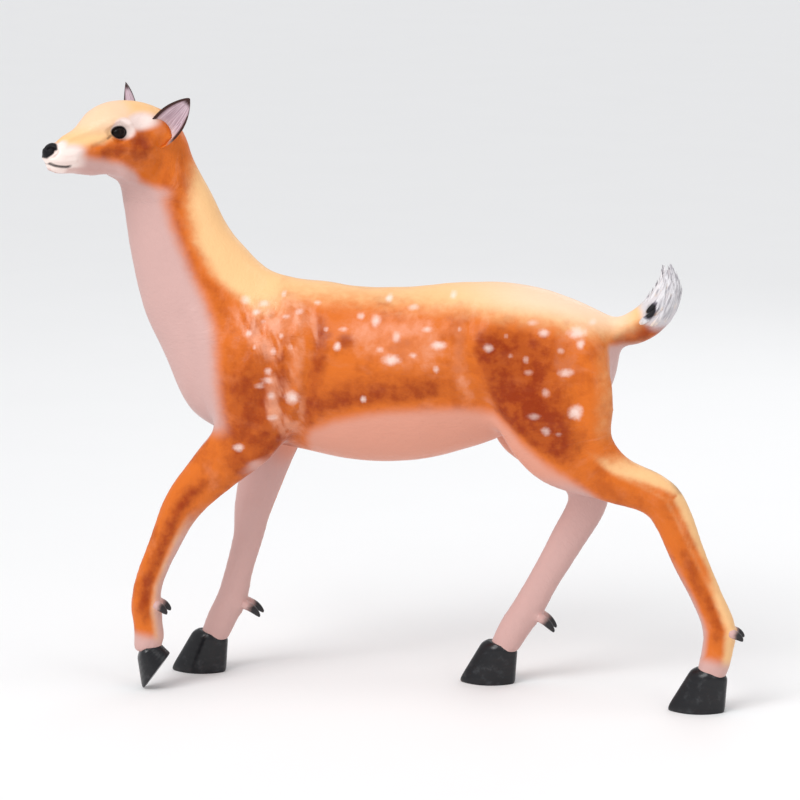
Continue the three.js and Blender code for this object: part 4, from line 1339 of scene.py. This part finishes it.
def coat_material():
    """The painted and varnished coat."""
    material, nodes, shader = new_material("doe_coat")
    if nodes is None:
        return material
    coat = bpy.context.scene.doe_coat
    places = nodes.add("ShaderNodeTexCoord").outputs["Object"]
    lay = nodes.add("ShaderNodeAttribute", attribute_name="lay").outputs["Vector"]
    colour = coat_tones(nodes, coat, places, lay)

    colour = nodes.mix(nodes.mask("fair"), colour, coat.spot)
    wander = nodes.calc("MULTIPLY_ADD", nodes.noise(places, 110.0, 3.0, 0.6), 0.9, nodes.mask("spot"))
    spots = nodes.calc("MULTIPLY", nodes.spread(wander, 0.5, 1.75, 0.82, 0.0), nodes.mask("spot_strength"))
    colour = nodes.mix(spots, colour, coat.spot)
    brush = place_group(nodes, airbrush_edge(), Mask=nodes.mask("brush"), Places=lay, Raggedness=0.5)
    colour = nodes.mix(brush, colour, (0.62, 0.58, 0.60))
    # Black of the nose, lids and mouth, and the painted shadow on the hock
    dark = nodes.mask("dark")
    colour = nodes.mix(dark, colour, coat.black)
    nodes.join(colour, shader.inputs["Base Color"])

    gloss = nodes.noise(places, 18.0, 3.0, 0.5)
    nodes.join(nodes.spread(gloss, 0.3, 0.7, 0.36, 0.48), shader.inputs["Roughness"])
    nodes.join(nodes.spread(dark, 0.2, 1.0, 0.14, 0.05), shader.inputs["Coat Weight"])
    shader.inputs["Specular IOR Level"].default_value = 0.12
    shader.inputs["Coat Roughness"].default_value = 0.10
    depth = nodes.spread(nodes.mask("tuft"), 0.0, 1.0, 0.8, 1.8)
    bump(nodes, shader, place_group(nodes, hair_strokes(), Places=lay, Depth=depth), 0.0016, 0.8)
    return material


def ear_material():
    """Tan outside, lilac inside with streaks along the ear, and a dark rim and tip."""
    material, nodes, shader = new_material("doe_ear")
    if nodes is None:
        return material
    coat = bpy.context.scene.doe_coat
    along, across = nodes.mask("along"), nodes.mask("across")
    lengthwise = nodes.add("ShaderNodeCombineXYZ")
    nodes.join(nodes.calc("MULTIPLY", along, 0.16), lengthwise.inputs["X"])
    nodes.join(across, lengthwise.inputs["Y"])
    streaks = nodes.noise(lengthwise.outputs["Vector"], 9.0, 3.0, 0.6)
    aside = nodes.calc("ABSOLUTE", across)
    ragged = nodes.calc("MULTIPLY_ADD", streaks, 0.30, aside)
    rim = nodes.calc("MULTIPLY", nodes.spread(ragged, 0.86, 1.06), nodes.spread(along, 0.12, 0.34))
    tip = nodes.spread(nodes.calc("MULTIPLY_ADD", streaks, 0.14, along), 0.92, 1.02)
    colour = nodes.mix(nodes.spread(streaks, 0.38, 0.66), (0.42, 0.29, 0.34), (0.68, 0.54, 0.60))
    base = nodes.spread(nodes.calc("MULTIPLY_ADD", streaks, 0.2, along), 0.22, 0.55, 0.9, 0.0)
    colour = nodes.mix(base, colour, coat.spot)
    root = nodes.calc("MULTIPLY", nodes.spread(aside, 0.62, 0.86), nodes.spread(along, 0.14, 0.34, 1.0, 0.0))
    colour = nodes.mix(root, colour, coat.orange)
    colour = nodes.mix(nodes.calc("MAXIMUM", rim, tip), colour, (0.045, 0.016, 0.014))
    nodes.join(colour, shader.inputs["Base Color"])
    shader.inputs["Roughness"].default_value = 0.45
    shader.inputs["Specular IOR Level"].default_value = 0.15
    shader.inputs["Coat Weight"].default_value = 0.12
    shader.inputs["Coat Roughness"].default_value = 0.16
    bump(nodes, shader, streaks, 0.0012, 0.6)
    return material


def eye_material():
    """A wet black-brown eye under a clear coat."""
    material, nodes, shader = new_material("doe_eye")
    if nodes is None:
        return material
    places = nodes.add("ShaderNodeTexCoord").outputs["Object"]
    depth = nodes.noise(places, 120.0, 2.0, 0.5)
    colour = nodes.mix(nodes.spread(depth, 0.35, 0.7), (0.003, 0.002, 0.002), (0.012, 0.005, 0.003))
    nodes.join(colour, shader.inputs["Base Color"])
    shader.inputs["Roughness"].default_value = 0.4
    shader.inputs["Specular IOR Level"].default_value = 0.04
    shader.inputs["Coat Weight"].default_value = 0.16
    shader.inputs["Coat Roughness"].default_value = 0.02
    return material


def hoof_material():
    """Black horn with faint growth rings, a little worn and dusty."""
    material, nodes, shader = new_material("doe_hoof")
    if nodes is None:
        return material
    places = nodes.add("ShaderNodeTexCoord").outputs["Object"]
    level = nodes.mask("level")
    wander = nodes.calc("MULTIPLY_ADD", nodes.noise(places, 30.0, 2.0, 0.5), 0.10, level)
    rings = nodes.calc("SINE", nodes.calc("MULTIPLY", wander, 34.0))
    dust = nodes.spread(nodes.noise(places, 60.0, 4.0, 0.65), 0.5, 0.85)
    colour = nodes.mix(dust, (0.006, 0.006, 0.008), (0.040, 0.042, 0.046))
    nodes.join(colour, shader.inputs["Base Color"])
    nodes.join(nodes.spread(dust, 0.0, 1.0, 0.28, 0.5), shader.inputs["Roughness"])
    shader.inputs["Specular IOR Level"].default_value = 0.3
    shader.inputs["Coat Weight"].default_value = 0.2
    shader.inputs["Coat Roughness"].default_value = 0.15
    grain = nodes.calc("MULTIPLY_ADD", rings, 0.25, nodes.noise(places, 120.0, 3.0, 0.6))
    bump(nodes, shader, grain, 0.0008, 0.6)
    return material


def dewclaw_material():
    """Lilac-grey at the root and black horn at the tip."""
    material, nodes, shader = new_material("doe_dewclaw")
    if nodes is None:
        return material
    coat = bpy.context.scene.doe_coat
    places = nodes.add("ShaderNodeTexCoord").outputs["Object"]
    grain = nodes.noise(places, 90.0, 3.0, 0.6)
    along = nodes.calc("MULTIPLY_ADD", grain, 0.3, nodes.mask("level"))
    colour = nodes.mix(nodes.spread(along, 0.55, 1.0), coat.belly, (0.02, 0.018, 0.02))
    nodes.join(colour, shader.inputs["Base Color"])
    shader.inputs["Roughness"].default_value = 0.4
    shader.inputs["Specular IOR Level"].default_value = 0.25
    shader.inputs["Coat Weight"].default_value = 0.2
    bump(nodes, shader, grain, 0.0006, 0.5)
    return material


def brush_material():
    """White hair with lilac-grey strands, cream at the roots and dark in the bend."""
    material, nodes, shader = new_material("doe_brush")
    if nodes is None:
        return material
    coat = bpy.context.scene.doe_coat
    places = nodes.add("ShaderNodeTexCoord").outputs["Object"]
    strands = nodes.noise(nodes.stretched(places, 0.35, 6.0), 230.0, 2.0, 0.5)
    along, shade = nodes.mask("along"), nodes.mask("shade")
    streaked = nodes.calc("MULTIPLY_ADD", nodes.calc("SUBTRACT", strands, 0.4), 1.6, shade)
    colour = nodes.mix(nodes.spread(streaked, 0.0, 1.0), (0.74, 0.72, 0.74), (0.17, 0.15, 0.18))
    roots = nodes.spread(nodes.calc("MULTIPLY_ADD", strands, 0.3, along), 0.1, 0.4, 0.4, 0.0)
    colour = nodes.mix(roots, colour, coat.cream)
    colour = nodes.mix(nodes.spread(shade, 0.7, 1.5), colour, coat.black)
    nodes.join(colour, shader.inputs["Base Color"])
    shader.inputs["Roughness"].default_value = 0.5
    shader.inputs["Specular IOR Level"].default_value = 0.2
    shader.inputs["Coat Weight"].default_value = 0.1
    bump(nodes, shader, strands, 0.0012, 0.6)
    return material


# Studio


def lamp(name, place, aim, size, power):
    """A soft rectangular lamp."""
    data = bpy.data.lights.new(name, "AREA")
    data.shape = "RECTANGLE"
    data.size, data.size_y = size
    data.energy = power
    lit = bpy.data.objects.new(name, data)
    bpy.context.scene.collection.objects.link(lit)
    lit.location = place
    lit.rotation_euler = (Vector(aim) - Vector(place)).to_track_quat("-Z", "Y").to_euler()


def daylight(name, place, aim, strength):
    """A broad soft light that falls alike on the whole floor."""
    data = bpy.data.lights.new(name, "SUN")
    data.energy = strength
    data.angle = math.radians(32)
    lit = bpy.data.objects.new(name, data)
    bpy.context.scene.collection.objects.link(lit)
    lit.rotation_euler = (Vector(aim) - Vector(place)).to_track_quat("-Z", "Y").to_euler()


def floor_material():
    """Plain pale floor, hardly mottled."""
    material, nodes, shader = new_material("studio_floor")
    if nodes is None:
        return material
    places = nodes.add("ShaderNodeTexCoord").outputs["Object"]
    grain = nodes.noise(places, 3.0, 3.0, 0.5)
    colour = nodes.mix(nodes.spread(grain, 0.3, 0.7), (0.90, 0.90, 0.90), (0.905, 0.905, 0.905))
    nodes.join(colour, shader.inputs["Base Color"])
    shader.inputs["Roughness"].default_value = 0.7
    shader.inputs["Specular IOR Level"].default_value = 0.3
    return material


class DOE_OT_studio(bpy.types.Operator):
    """Lays the pale floor and sets the lamps and the camera"""

    bl_idname = "doe.studio"
    bl_label = "Studio"

    def execute(self, context):
        studio = context.scene.doe_studio
        bm = bmesh.new()
        bmesh.ops.create_circle(bm, cap_ends=True, segments=96, radius=30)
        mesh = bpy.data.meshes.new("studio_floor")
        bm.to_mesh(mesh)
        bm.free()
        floor = bpy.data.objects.new("studio_floor", mesh)
        context.scene.collection.objects.link(floor)
        mesh.materials.append(floor_material())
        aim = (0, 0, 0.5)
        daylight("key", (-2.0, -3.4, 4.2), aim, 1.16 * studio.light)
        lamp("left_box", (-2.6, -3.0, 2.6), aim, (1.6, 1.6), 27 * studio.light)
        lamp("right_box", (3.0, -2.6, 2.0), aim, (1.4, 2.0), 12 * studio.light)
        lamp("top_box", (0.2, -0.4, 3.2), aim, (3.2, 0.9), 17 * studio.light)
        lamp("back_box", (1.2, 3.2, 2.2), aim, (2.4, 1.2), 12 * studio.light)
        world = context.scene.world or bpy.data.worlds.new("studio_air")
        context.scene.world = world
        world.use_nodes = True
        air = world.node_tree.nodes["Background"]
        air.inputs["Color"].default_value = (0.97, 0.98, 1.0, 1)
        air.inputs["Strength"].default_value = 0.66 * studio.light
        context.scene.view_settings.view_transform = "Standard"
        self.set_camera(context.scene, studio, Vector((0.0, 0.0, 0.495)))
        return {"FINISHED"}

    def set_camera(self, scene, studio, aim):
        """Puts the camera at the photograph's viewing angle."""
        a, e = studio.azimuth, studio.elevation
        back = Vector((math.sin(a) * math.cos(e), -math.cos(a) * math.cos(e), math.sin(e)))
        data = bpy.data.cameras.new("camera")
        data.lens = studio.lens
        camera = bpy.data.objects.new("camera", data)
        scene.collection.objects.link(camera)
        camera.location = aim + back * studio.distance
        camera.rotation_euler = (-back).to_track_quat("-Z", "Y").to_euler()
        scene.camera = camera


class DOE_PT_panel(bpy.types.Panel):
    """Lists the doe's operators and settings"""

    bl_label = "Walking doe"
    bl_space_type = "VIEW_3D"
    bl_region_type = "UI"
    bl_category = "Doe"

    def draw(self, context):
        scene = context.scene
        for settings in (scene.doe_form, scene.doe_coat, scene.doe_studio):
            box = self.layout.box()
            for name in settings.__annotations__:
                box.prop(settings, name)
        for operator in OPERATORS:
            self.layout.operator(operator.bl_idname)


OPERATORS = (DOE_OT_skin, DOE_OT_ears, DOE_OT_eyes, DOE_OT_hooves, DOE_OT_dewclaws, DOE_OT_tail,
             DOE_OT_studio)
SETTINGS = {"doe_form": DoeForm, "doe_coat": DoeCoat, "doe_studio": DoeStudio}


def register():
    for kind in (*SETTINGS.values(), *OPERATORS, DOE_PT_panel):
        bpy.utils.register_class(kind)
    for name, kind in SETTINGS.items():
        setattr(bpy.types.Scene, name, bpy.props.PointerProperty(type=kind))


def unregister():
    for name in SETTINGS:
        delattr(bpy.types.Scene, name)
    for kind in reversed((*SETTINGS.values(), *OPERATORS, DOE_PT_panel)):
        bpy.utils.unregister_class(kind)


def main():
    register()
    bpy.ops.doe.skin()
    bpy.ops.doe.ears()
    bpy.ops.doe.eyes()
    bpy.ops.doe.hooves()
    bpy.ops.doe.dewclaws()
    bpy.ops.doe.tail()
    bpy.ops.doe.studio()


if __name__ == "__main__":
    main()
